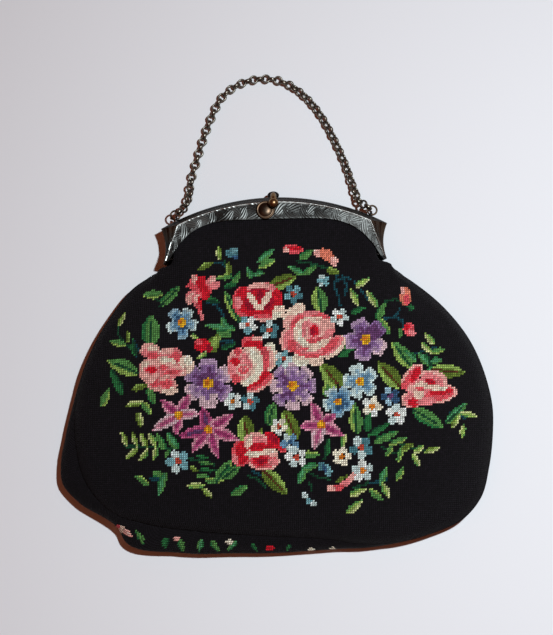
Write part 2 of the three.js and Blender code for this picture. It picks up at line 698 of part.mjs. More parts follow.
addPiece("front_panel", shell(frontSurface(0), frontSurface(CLOTH)), needlework);
addPiece("back_panel", shell(backSurface(0), backSurface(CLOTH)), needlework);
addPiece("front_frame", toGeometry(frontFrame()), oldSilver);
addPiece("back_frame", toGeometry(backFrame()), oldSilver);
addPiece("hinge_pin_left", toGeometry(hingePin(-1)), oldSilver);
addPiece("hinge_pin_right", toGeometry(hingePin(1)), oldSilver);
addPiece("clasp_ball", toGeometry(claspBall()), wornBrass);
addPiece("clasp_knob", toGeometry(claspKnob()), oldSilver);
addPiece("clasp_boss", toGeometry(claspBoss()), wornBrass);
for (const [name, side] of [["jump_ring_left", -1], ["jump_ring_right", 1]]) {
  const ring = wireRing(RING_RADIUS, RING_WIRE, jumpRingCentre(side), new THREE.Vector3(0, 0, 1), 12);
  addPiece(name, toGeometry(toSolid(ring)), wornBrass);
}
addPiece("chain", toGeometry(chain()), oldSilver);

// The origin is the middle of the floor that the purse covers
const covered = new THREE.Box3().setFromObject(purse);
const middle = covered.getCenter(new THREE.Vector3());
purse.position.set(-middle.x, -middle.y, -covered.min.z);

export default purse;
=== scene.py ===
# A petit-point evening purse on an arched silver frame, lying on its back with its chain handle laid out behind
# it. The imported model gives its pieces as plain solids; this script dresses them for the photograph. Arrays are
# in millimetres of the model's own frame: X runs across the purse, Y from the bottom of the bag to the chain,
# Z up.
import math

import bpy
import numpy as np
from mathutils import Matrix, Vector
from mathutils.bvhtree import BVHTree


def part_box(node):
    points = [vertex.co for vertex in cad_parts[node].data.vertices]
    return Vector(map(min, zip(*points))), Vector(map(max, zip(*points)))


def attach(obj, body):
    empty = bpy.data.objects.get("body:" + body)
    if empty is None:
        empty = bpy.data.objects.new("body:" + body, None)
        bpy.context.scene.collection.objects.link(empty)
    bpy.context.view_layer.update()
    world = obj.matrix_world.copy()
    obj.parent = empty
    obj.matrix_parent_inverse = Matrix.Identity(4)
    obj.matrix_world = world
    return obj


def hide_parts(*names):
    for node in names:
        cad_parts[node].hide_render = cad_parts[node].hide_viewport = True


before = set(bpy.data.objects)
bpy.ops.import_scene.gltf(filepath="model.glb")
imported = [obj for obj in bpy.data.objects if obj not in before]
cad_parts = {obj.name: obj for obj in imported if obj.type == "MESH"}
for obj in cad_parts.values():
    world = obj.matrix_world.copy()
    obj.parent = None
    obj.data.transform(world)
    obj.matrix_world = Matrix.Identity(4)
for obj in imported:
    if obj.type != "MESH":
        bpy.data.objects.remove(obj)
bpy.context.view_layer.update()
bpy.ops.object.select_all(action="DESELECT")


# Front panel
# The bag is canvas worked all over in wool and silk, one slanting stitch to each crossing of its threads. The
# front is a soft dome, drawn flat under the frame: a sheet of stitches laid over the solid, with its thickness.
STITCH = 0.96
CLOTH_THICKNESS = 1.6
MILLIMETRE = 0.001
# The solid's outer side is read along lines from the bag's middle, each at evenly spaced steps
TURNS = 480
STEPS = 100
FINE_STEPS = 400
# Corners nearer the middle than this belong to the crown, and corners within these of each other to one line
CROWN_RADIUS = 20
SAME_TURN = 0.01
SAME_HEIGHT = 0.01
# A ray from outside, moved a little off the corner's edge, tells a corner of the outer side
RAY_LENGTH = 300
RAY_NUDGE = 0.05
LEAST_TILT = 0.5
NEAR_HIT = 0.4
# Corners of a mesh nearer than this are one
WELD = 1e-6
PACKED_WELD = 1e-5


def box_of(node):
    """Lowest and highest corner of one of the model's solids."""
    return [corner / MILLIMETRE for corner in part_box(node)]


FRAME_RISE = 13.9
FRAME_DROP = 17
BAG_DROP = 153.7
MIDDLE_SHARE = 0.53
frame_low, frame_high = box_of("front_frame")
bag_high = box_of("front_panel")[1]
frame_x = (frame_low.x + frame_high.x) / 2
frame_y = frame_high.y - FRAME_RISE
BAG_MIDDLE = np.array([frame_x, frame_y - MIDDLE_SHARE * BAG_DROP])


def read(items, key, width=3, kind=float):
    """One value of every corner, face or loop of a mesh, a row to each."""
    values = np.empty(len(items) * width, kind)
    items.foreach_get(key, values)
    return values.reshape(-1, width)


def add_object(name, data):
    piece = bpy.data.objects.new(name, data)
    bpy.context.collection.objects.link(piece)
    return piece


def select_only(piece):
    bpy.ops.object.select_all(action="DESELECT")
    piece.hide_set(False)
    piece.select_set(True)
    bpy.context.view_layer.objects.active = piece


def edit_all(piece):
    """Opens a piece for editing with all of it selected."""
    select_only(piece)
    bpy.ops.object.mode_set(mode="EDIT")
    bpy.ops.mesh.select_all(action="SELECT")


def apply_modifier(piece, kind, **settings):
    select_only(piece)
    modifier = piece.modifiers.new(kind.title(), kind)
    for name, value in settings.items():
        setattr(modifier, name, value)
    bpy.ops.object.modifier_apply(modifier=modifier.name)


def merged_copy(node, name):
    """Copy of a node with its corners joined and its triangles paired."""
    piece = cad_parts[node].copy()
    piece.data = piece.data.copy()
    piece.name = name
    piece.parent = None
    for key in list(piece.keys()):
        del piece[key]
    bpy.context.collection.objects.link(piece)
    edit_all(piece)
    bpy.ops.mesh.remove_doubles(threshold=PACKED_WELD)
    bpy.ops.mesh.tris_convert_to_quads(face_threshold=math.radians(50), shape_threshold=math.radians(60))
    bpy.ops.object.mode_set(mode="OBJECT")
    return piece


def through(places, values, at):
    """Smooth curve through values at their places, read off at other places."""
    gaps = np.diff(places)
    slopes = np.diff(values, axis=0) / gaps[:, None]
    inner = (slopes[:-1] * gaps[1:, None] + slopes[1:] * gaps[:-1, None]) / (gaps[:-1] + gaps[1:])[:, None]
    lean = np.vstack([slopes[:1], inner, slopes[-1:]])
    i = np.clip(np.searchsorted(places, at, "right") - 1, 0, len(gaps) - 1)
    t = ((at - places[i]) / gaps[i])[:, None]
    h = gaps[i][:, None]
    start = values[i] * (1 + 2 * t) * (1 - t) ** 2 + lean[i] * h * t * (1 - t) ** 2
    return start + values[i + 1] * t**2 * (3 - 2 * t) - lean[i + 1] * h * t**2 * (1 - t)


def length_so_far(line):
    return np.concatenate([[0], np.cumsum(np.linalg.norm(np.diff(line, axis=0), axis=1))])


def panel_surface(node, up):
    """Outer side of a panel along lines from its middle to its edge: their points, and each line's length."""
    solid = merged_copy(node, "rays " + node)
    mesh = solid.data
    tree = BVHTree.FromPolygons([v.co / MILLIMETRE for v in mesh.vertices], [p.vertices for p in mesh.polygons])
    bpy.data.objects.remove(solid)
    corners = read(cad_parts[node].data.vertices, "co") / MILLIMETRE
    plan = corners[:, :2] - BAG_MIDDLE
    off_crown = np.hypot(*plan.T) > CROWN_RADIUS
    corners, plan = corners[off_crown], plan[off_crown]
    turn = np.arctan2(plan[:, 1], plan[:, 0])
    order = np.argsort(turn)
    crown = np.array([*BAG_MIDDLE, bag_high.z if up else 0])
    turns, lines = [], []
    for station in np.split(order, np.flatnonzero(np.diff(turn[order]) > SAME_TURN) + 1):
        rows = corners[station]
        height = rows[:, 2].min() if up else rows[:, 2].max()
        level = rows[np.abs(rows[:, 2] - height) < SAME_HEIGHT]
        edge = level[np.hypot(*(level[:, :2] - BAG_MIDDLE).T).argmax()]
        foot = Vector((*BAG_MIDDLE, height))
        beside = Vector((-math.sin(turn[station[0]]), math.cos(turn[station[0]]), 0)) * RAY_NUDGE
        outer = {}
        for corner in rows:
            reach = Vector(corner) + beside - foot
            tilt = math.degrees(math.atan2(abs(reach.z), math.hypot(reach.x, reach.y)))
            struck = tree.ray_cast(foot + reach.normalized() * RAY_LENGTH, -reach)[0]
            if tilt > LEAST_TILT and struck and (struck - Vector(corner)).length < NEAR_HIT:
                outer[round(tilt, 2)] = corner
        knots = np.array([crown, *(outer[tilt] for tilt in sorted(outer, reverse=True)), edge])
        far = length_so_far(knots)
        line = through(far, knots, np.linspace(0, far[-1], FINE_STEPS))
        line[:, 2] = np.clip(line[:, 2], knots[:, 2].min(), knots[:, 2].max())
        far = length_so_far(line)
        turns.append(turn[station].mean())
        shares = np.linspace(0, far[-1], STEPS)
        lines.append(np.stack([np.interp(shares, far, line[:, a]) for a in range(3)], -1))
    turns, lines = np.array(turns), np.array(lines).reshape(len(turns), -1)
    turns = np.concatenate([turns[-3:] - math.tau, turns, turns[:3] + math.tau])
    lines = np.concatenate([lines[-3:], lines, lines[:3]])
    even = through(turns, lines, math.tau * np.arange(TURNS) / TURNS - math.pi).reshape(TURNS, STEPS, 3)
    return even, np.linalg.norm(np.diff(even, axis=1), axis=2).sum(1)


def laid_on(flat, surface):
    """Places on the panel of points of the flat canvas, and which of them lie on it."""
    lines, lengths = surface
    turn = (np.arctan2(flat[:, 1], flat[:, 0]) + math.pi) / math.tau * TURNS
    i = np.floor(turn).astype(int)
    blend = (turn - i)[:, None]
    i, j = i % TURNS, (i + 1) % TURNS
    length = lengths[i] * (1 - blend[:, 0]) + lengths[j] * blend[:, 0]
    far = np.hypot(*flat.T)
    step = np.minimum(far / length, 1) * (STEPS - 1)
    k = np.minimum(step.astype(int), STEPS - 2)
    part = (step - k)[:, None]
    on_line = lambda n: lines[n, k] * (1 - part) + lines[n, k + 1] * part
    return on_line(i) * (1 - blend) + on_line(j) * blend, far <= length


def stitched_panel(name, surface, outwards):
    """Sheet of square stitches over a panel's outer side, with its canvas squares as the UV map."""
    across = 2 * math.ceil(surface[1].max() / STITCH)
    bpy.ops.mesh.primitive_grid_add(x_subdivisions=across, y_subdivisions=across, size=across * STITCH)
    piece = bpy.context.object
    piece.name = name
    mesh = piece.data
    flat = read(mesh.vertices, "co")[:, :2]
    places, inside = laid_on(flat, surface)
    loops = read(mesh.loops, "vertex_index", 1, int)[:, 0]
    mesh.uv_layers.active.data.foreach_set("uv", (flat[loops] / STITCH).ravel())
    mesh.vertices.foreach_set("co", (places * MILLIMETRE).ravel())
    for parts in (mesh.polygons, mesh.edges):
        parts.foreach_set("select", np.zeros(len(parts), bool))
    mesh.vertices.foreach_set("select", ~inside)
    select_only(piece)
    bpy.ops.object.mode_set(mode="EDIT")
    bpy.ops.mesh.select_mode(type="VERT")
    bpy.ops.mesh.delete(type="ONLY_FACE")
    bpy.ops.mesh.select_all(action="SELECT")
    bpy.ops.mesh.delete_loose()
    if not outwards:
        bpy.ops.mesh.select_all(action="SELECT")
        bpy.ops.mesh.flip_normals()
    bpy.ops.object.mode_set(mode="OBJECT")
    return piece


# Wools, as red, green and blue from 0 to 255
WOOLS = {
    "ground": (22, 19, 23), "scarlet": (205, 30, 45), "crimson": (158, 24, 46), "coral": (226, 84, 92),
    "rose": (234, 128, 130), "shell": (242, 172, 160), "blush": (240, 205, 182), "ivory": (236, 226, 200),
    "salmon": (228, 126, 100), "plum": (100, 62, 102), "violet": (134, 100, 146), "lilac": (172, 142, 170),
    "mauve": (208, 176, 182), "magenta": (148, 54, 98), "orchid": (178, 84, 122),
    "pale_orchid": (208, 142, 158), "navy": (54, 84, 114), "blue": (98, 138, 166), "sky": (144, 176, 190),
    "ice": (192, 210, 206), "teal": (26, 66, 74), "lagoon": (76, 122, 130), "sea": (114, 162, 168),
    "chalk": (226, 230, 222), "gold": (228, 168, 38), "amber": (206, 116, 36), "rust": (188, 74, 56),
    "bark": (84, 48, 30), "pine": (26, 66, 44), "fern": (42, 104, 58), "leaf": (82, 134, 70),
    "mint": (76, 142, 94), "moss": (92, 112, 44), "lime": (142, 172, 84), "straw": (188, 196, 132),
}
WOOL_NAMES = list(WOOLS)


# A leaf wider than this has a vein, and each petal of a flower is set off by a dark line near its tip
WIDE_LEAF = 9
VEIN_WIDTH = 1.05
GAP_FROM, GAP_TO, GAP_WIDTH = 0.66, 1.1, 0.85


class Chart:
    """Which wool each stitch has. Places and sizes are in pixels of the photograph, about two to a stitch."""

    def __init__(self, x, y):
        self.x, self.y = x, y
        self.wool = np.zeros(len(x), int)

    def sew(self, where, wool):
        self.wool[where] = WOOL_NAMES.index(wool)

    def seen_from(self, x, y, turn):
        """Places as seen from a point, along a direction in degrees clockwise from the right, and across it."""
        c, s = math.cos(math.radians(turn)), math.sin(math.radians(turn))
        dx, dy = self.x - x, self.y - y
        return dx * c + dy * s, dy * c - dx * s

    def between(self, start, end):
        """Places along a line between two points and across it, with the line's length and direction."""
        turn = math.degrees(math.atan2(end[1] - start[1], end[0] - start[0]))
        return *self.seen_from(*start, turn), math.dist(start, end), turn

    def patch(self, x, y, long, wide, turn, wool):
        along, across = self.seen_from(x, y, turn)
        self.sew((along / long) ** 2 + (across / wide) ** 2 < 1, wool)

    def stem(self, wool, *numbers, width=1.3):
        """Line of stitches through a few points."""
        points = list(zip(numbers[::2], numbers[1::2]))
        for start, end in zip(points, points[1:]):
            along, across, length, _ = self.between(start, end)
            self.sew((along > -0.6) & (along < length + 0.6) & (np.abs(across) < width), wool)

    def leaf(self, x, y, tip_x, tip_y, width, greens):
        """Pointed leaf from its stalk, one half light and the other dark, with a vein where it is wide."""
        along, across, length, turn = self.between((x, y), (tip_x, tip_y))
        share = np.clip(along / length, 0, 1)
        half = width / 2 * np.sin(np.pi * share**0.85) ** 0.75
        inside = (along > 0) & (along < length) & (np.abs(across) < half)
        light_side = across * (1 if turn % 180 < 90 else -1) < 0
        dark, middle, light = GREENS[greens]
        self.sew(inside, middle)
        self.sew(inside & light_side & (np.abs(across) > half * 0.35), light)
        self.sew(inside & ~light_side & (np.abs(across) > half * 0.55), dark)
        if width > WIDE_LEAF:
            vein = inside & (np.abs(across) < VEIN_WIDTH) & (share < 0.8)
            self.sew(vein, "bark" if dark == "moss" else "pine")

    def petal(self, x, y, start, reach, width, turn, wools):
        """Rounded petal from start to reach away from a flower's middle, from its first wool to its last."""
        along, across = self.seen_from(x, y, turn)
        share = (along - start) / (reach - start)
        half = width / 2 * np.sqrt(np.clip(1 - ((share - 0.58) / 0.6) ** 2, 0, 1))
        inside = (share > 0) & (share < 1) & (np.abs(across) < half)
        base, body, rim = wools
        self.sew(inside, body)
        self.sew(inside & (share < 0.32), base)
        self.sew(inside & (np.abs(across) < half * 0.22) & (share < 0.62), base)
        self.sew(inside & (share > 0.76), rim)
        self.sew(inside & (np.abs(across) > half * 0.74) & (share > 0.4), rim)

    def flower(self, x, y, reach, width, turn, petals, eye):
        """Ring of petals, each with its own three wools, round a golden eye."""
        for i, wools in enumerate(petals):
            self.petal(x, y, eye * 0.6, reach, width, turn + i * 360 / len(petals), wools)
        for i in range(len(petals)):
            along, across = self.seen_from(x, y, turn + (i + 0.5) * 360 / len(petals))
            gap = (along > reach * GAP_FROM) & (along < reach * GAP_TO) & (np.abs(across) < GAP_WIDTH)
            self.sew(gap, "ground")
        self.patch(x, y, eye, eye, 0, "gold")
        self.patch(x - eye * 0.25, y - eye * 0.2, eye * 0.5, eye * 0.5, 0, "amber")

    def lily(self, x, y, tips, width, petals, eye):
        """Star of pointed petals, each to its own tip."""
        for tip, (base, body, rim) in zip(tips, petals):
            along, across, length, _ = self.between((x, y), tip)
            share = np.clip(along / length, 0, 1)
            half = width / 2 * np.sin(np.pi * (0.12 + 0.88 * share) ** 0.9) ** 0.8
            inside = (along > 0) & (along < length) & (np.abs(across) < half)
            self.sew(inside, body)
            self.sew(inside & (np.abs(across) > half * 0.55), rim)
            self.sew(inside & (np.abs(across) < half * 0.3) & (share < 0.7), base)
        self.patch(x, y, eye, eye, 0, "amber")
        self.patch(x - 0.8, y - 0.8, eye * 0.62, eye * 0.62, 0, "gold")

    def small_flower(self, x, y, reach, turn, one, other, eye):
        """Five round petals of two kinds in turn."""
        for i in range(5):
            angle = math.radians(turn + 72 * i)
            middle = reach * 0.62
            px, py = x + middle * math.cos(angle), y + middle * math.sin(angle)
            self.patch(px, py, reach * 0.38, reach * 0.36, turn + 72 * i, other if i % 2 else one)
        self.patch(x, y, reach * 0.27, reach * 0.27, 0, eye)


# Three wools of a leaf, from its dark half to its light half
GREENS = {
    "deep": ("teal", "pine", "fern"), "dark": ("pine", "fern", "fern"), "green": ("fern", "leaf", "leaf"),
    "fresh": ("fern", "mint", "leaf"), "bright": ("leaf", "leaf", "lime"), "moss": ("moss", "moss", "lime"),
    "lime": ("leaf", "lime", "straw"), "pale": ("moss", "lime", "straw"),
}

# Stems under the flowers: their wool and points
STEMS = [
    ("teal", 206, 264, 220, 263, 227, 268), ("pine", 224, 262, 230, 276, 236, 286),
    ("pine", 268, 257, 262, 266, 256, 274), ("pine", 296, 262, 312, 264, 330, 270, 338, 274),
    ("teal", 338, 274, 334, 286, 338, 296, 340, 306), ("teal", 334, 284, 344, 278, 352, 280),
    ("teal", 342, 276, 347, 286, 345, 296), ("teal", 355, 282, 362, 292, 368, 300),
    ("pine", 384, 303, 395, 300, 404, 304, 412, 312), ("teal", 382, 320, 394, 318, 403, 322, 404, 328),
    ("teal", 400, 310, 396, 318, 402, 323), ("pine", 153, 299, 164, 304),
    ("pine", 118, 326, 118, 336, 125, 345, 134, 352), ("pine", 113, 370, 118, 382, 120, 392),
    ("teal", 208, 302, 216, 306, 222, 314, 226, 324), ("teal", 206, 346, 222, 342, 232, 342),
    ("pine", 126, 446, 140, 446, 156, 446, 174, 448), ("teal", 150, 478, 160, 478, 164, 482),
    ("pine", 196, 470, 212, 470, 224, 468), ("pine", 190, 458, 204, 460, 216, 464),
    ("pine", 248, 474, 258, 478, 266, 486), ("teal", 252, 470, 262, 474),
    ("pine", 306, 470, 318, 476, 330, 478), ("pine", 309, 480, 311, 490),
    ("teal", 366, 482, 378, 480, 386, 478), ("pine", 376, 436, 392, 440, 410, 448, 426, 450),
    ("pine", 380, 446, 392, 452, 404, 450), ("teal", 448, 414, 458, 414, 464, 420),
    ("teal", 412, 356, 424, 352, 436, 348), ("pine", 422, 346, 428, 358, 430, 366),
    ("pine", 327, 438, 326, 448, 324, 458), ("pine", 352, 486, 362, 484, 368, 480),
]

# Leaves: stalk end, tip, width and greens
LEAVES = [
    (219, 261, 218, 246, 6, "pale"), (213, 263, 196, 271, 6.5, "moss"), (229, 277, 228, 261, 6, "moss"),
    (232, 277, 216, 279, 6, "bright"), (231, 286, 241, 272, 7, "green"), (236, 285, 222, 288, 6, "dark"),
    (257, 263, 275, 249, 7, "fresh"), (258, 268, 276, 260, 7, "bright"), (251, 279, 246, 267, 6, "fresh"),
    (250, 277, 265, 273, 5.5, "fresh"), (268, 288, 297, 277, 14, "moss"), (299, 260, 313, 251, 8, "green"),
    (304, 275, 288, 267, 7, "fresh"), (303, 275, 317, 266, 7, "green"), (326, 270, 340, 274, 7, "moss"),
    (143, 297, 163, 295, 9, "bright"), (159, 308, 180, 287, 10, "green"), (118, 328, 125, 314, 5.5, "pale"),
    (127, 346, 108, 342, 7, "bright"), (128, 344, 128, 332, 5, "moss"), (150, 347, 151, 316, 19, "green"),
    (136, 358, 133, 340, 8, "deep"), (139, 374, 107, 361, 15, "bright"), (124, 396, 111, 371, 9, "dark"),
    (102, 408, 110, 389, 8, "bright"), (148, 385, 131, 391, 7, "moss"), (148, 388, 156, 405, 8, "green"),
    (144, 402, 126, 406, 7, "pale"), (143, 402, 152, 415, 7, "bright"), (138, 412, 143, 427, 7, "pale"),
    (240, 324, 224, 292, 10, "bright"), (236, 330, 205, 326, 9, "fresh"), (226, 328, 221, 317, 6, "fresh"),
    (232, 336, 216, 332, 8, "green"), (204, 300, 220, 303, 8, "deep"), (210, 353, 219, 334, 8, "moss"),
    (208, 352, 196, 360, 5, "lime"), (198, 340, 189, 333, 5, "lime"), (220, 349, 236, 343, 7, "deep"),
    (322, 313, 317, 287, 16, "bright"), (355, 288, 370, 279, 7, "lime"), (359, 307, 350, 289, 7, "lime"),
    (377, 308, 367, 291, 7, "lime"), (350, 314, 366, 308, 6, "dark"), (377, 321, 385, 303, 8, "green"),
    (380, 320, 391, 336, 7, "bright"), (345, 352, 352, 336, 12, "green"), (338, 358, 356, 346, 8, "dark"),
    (411, 368, 392, 342, 15, "bright"), (416, 362, 404, 352, 8, "fresh"), (434, 346, 425, 334, 6.5, "lime"),
    (432, 354, 420, 343, 6, "lime"), (430, 353, 446, 350, 6, "bright"), (428, 366, 418, 353, 8, "fresh"),
    (430, 362, 442, 361, 7, "fresh"), (426, 372, 440, 368, 7, "fresh"), (430, 370, 465, 374, 14, "moss"),
    (411, 409, 443, 428, 14, "green"), (444, 424, 466, 403, 10, "fresh"), (450, 429, 459, 414, 6, "pale"),
    (459, 413, 476, 418, 6.5, "lime"), (462, 425, 460, 438, 6, "lime"), (341, 389, 321, 364, 19, "moss"),
    (400, 388, 377, 362, 17, "moss"), (328, 384, 322, 398, 7, "bright"), (324, 398, 326, 408, 5, "bright"),
    (297, 440, 283, 408, 15, "moss"), (268, 426, 274, 402, 14, "green"), (247, 443, 245, 415, 18, "moss"),
    (258, 438, 262, 428, 6, "moss"), (356, 434, 354, 403, 13, "bright"), (366, 432, 368, 410, 9, "dark"),
    (366, 436, 390, 422, 7, "dark"), (372, 442, 398, 431, 8, "green"), (385, 456, 393, 440, 5.5, "bright"),
    (388, 444, 407, 437, 6, "bright"), (396, 462, 402, 444, 6, "bright"), (399, 450, 413, 443, 6, "moss"),
    (412, 452, 423, 445, 6, "lime"), (423, 452, 438, 447, 6, "pale"), (411, 453, 418, 466, 6, "lime"),
    (342, 446, 344, 432, 6, "lime"), (326, 456, 328, 438, 7, "dark"), (300, 453, 320, 454, 7, "bright"),
    (298, 482, 306, 464, 8, "fresh"), (302, 468, 318, 463, 7, "fresh"), (348, 494, 365, 487, 7, "lime"),
    (368, 488, 382, 499, 7, "bright"), (345, 512, 362, 498, 8, "lime"), (378, 485, 385, 466, 7, "fresh"),
    (381, 481, 387, 496, 7, "lime"), (394, 479, 403, 466, 7, "bright"), (137, 474, 152, 485, 7, "bright"),
    (153, 472, 167, 475, 7, "green"), (160, 494, 167, 470, 8, "fresh"), (206, 484, 187, 485, 6.5, "lime"),
    (203, 486, 213, 496, 6, "pale"), (205, 478, 219, 481, 7, "bright"), (216, 482, 233, 458, 12, "bright"),
    (222, 478, 241, 464, 11, "green"), (232, 494, 249, 483, 8, "green"), (262, 468, 287, 493, 15, "moss"),
    (196, 454, 210, 458, 4.5, "dark"), (198, 460, 214, 464, 4.5, "green"), (190, 466, 200, 470, 5, "moss"),
    (200, 468, 214, 470, 4.5, "dark"), (196, 475, 210, 475, 5, "green"),
]

# A fern lies at the left: a row of leaflets on each side of its stem
FERN = [
    (129, 446, 122, 431, 6, "pale"), (139, 446, 132, 431, 6, "pale"), (148, 447, 141, 432, 6, "pale"),
    (157, 447, 150, 432, 6.5, "lime"), (166, 450, 158, 433, 7, "green"), (179, 449, 167, 431, 8, "fresh"),
    (139, 447, 127, 459, 6, "pale"), (150, 448, 140, 461, 6, "lime"), (158, 447, 154, 460, 6, "lime"),
    (170, 448, 166, 458, 5, "green"),
]

# Small five-petalled flowers: middle, reach, turn, and the two kinds of petal that take turns
SMALL_FLOWERS = [
    (247.8, 325.3, 9.5, 20, "chalk", "sea", "rust"), (269.6, 330.7, 10, 50, "lagoon", "ice", "rust"),
    (293.3, 295, 10, 90, "lagoon", "sea", "rust"), (339.4, 317.4, 9.5, 10, "ice", "chalk", "rust"),
    (322.8, 281.6, 7, 40, "sea", "ice", "sea"), (283.5, 359.5, 9, 70, "ice", "sea", "rust"),
    (233.3, 401.2, 9.5, 30, "chalk", "ice", "amber"), (250.3, 401.5, 9.5, 60, "lagoon", "ice", "rust"),
    (278.7, 426, 9, 15, "ivory", "chalk", "rust"), (371.2, 406.6, 10.5, 0, "ivory", "chalk", "amber"),
    (389.7, 396.4, 9.5, 35, "navy", "sky", "plum"), (395.4, 414.2, 11, 54, "chalk", "ice", "rust"),
    (289.6, 441.6, 9.5, 20, "blue", "ice", "navy"), (296, 456.3, 11, 40, "chalk", "ice", "rust"),
    (341.2, 455.7, 10, 65, "ivory", "ivory", "amber"), (360.4, 446.7, 12, 20, "lagoon", "ice", "rust"),
    (361.6, 469.7, 11.5, 50, "ice", "chalk", "amber"), (178.8, 460.6, 12, 30, "sea", "ice", "rust"),
]

# Larger flowers: middle, reach, petal width, turn, petals from the right and clockwise, and eye
BLUE = ("navy", "blue", "sky")
PALE_BLUE = ("blue", "sky", "ice")
ICE_BLUE = ("sky", "ice", "ice")
DEEP_PURPLE = ("plum", "plum", "violet")
PURPLE = ("plum", "violet", "lilac")
PALE_PURPLE = ("violet", "lilac", "mauve")
PINK_PURPLE = ("violet", "mauve", "mauve")
LARGE_FLOWERS = [
    (181.5, 323.5, 15.8, 11.5, 12, [PALE_BLUE, BLUE, PALE_BLUE, BLUE, PALE_BLUE], 4.2),
    (359.7, 381.7, 17.5, 14, 38, [PALE_BLUE, ICE_BLUE, PALE_BLUE, ICE_BLUE, PALE_BLUE], 4.6),
    (337.4, 401.5, 15, 13, 20, [BLUE, BLUE, PALE_BLUE, PALE_BLUE, BLUE], 3.8),
    (208.4, 383.6, 24, 19, -30, [PALE_PURPLE, PURPLE, PINK_PURPLE, PALE_PURPLE, PURPLE, PURPLE], 5.4),
    (366.0, 340, 21.5, 17, 30, [PALE_PURPLE, PURPLE, PURPLE, PURPLE, DEEP_PURPLE], 5.2),
    (292.8, 386.0, 23.5, 16, 0,
     [PURPLE, PALE_PURPLE, PINK_PURPLE, PURPLE, PINK_PURPLE, PURPLE, PALE_PURPLE, PALE_PURPLE], 5.4),
]

# Lilies: middle, tips, petal width, petals and eye
PINK_LILY = ("orchid", "pale_orchid", "mauve")
DEEP_LILY = ("magenta", "orchid", "pale_orchid")
DARK_LILY = ("plum", "magenta", "orchid")
LILIES = [
    (179.4, 415, [(161, 400), (190, 394), (200, 413), (176, 435), (153, 430)], 12,
     [DEEP_LILY, DEEP_LILY, PINK_LILY, DEEP_LILY, PINK_LILY], 4.2),
    (209, 429, [(202, 407), (234, 414), (240, 439), (219, 457), (192, 452), (179, 436)], 12.5,
     [DARK_LILY, DEEP_LILY, DEEP_LILY, DEEP_LILY, DEEP_LILY, DARK_LILY], 4),
    (320.8, 424.4, [(311, 402), (336, 413), (343, 435), (313, 449), (299, 426)], 12.5,
     [DEEP_LILY, DEEP_LILY, DEEP_LILY, PINK_LILY, DEEP_LILY], 4.2),
]

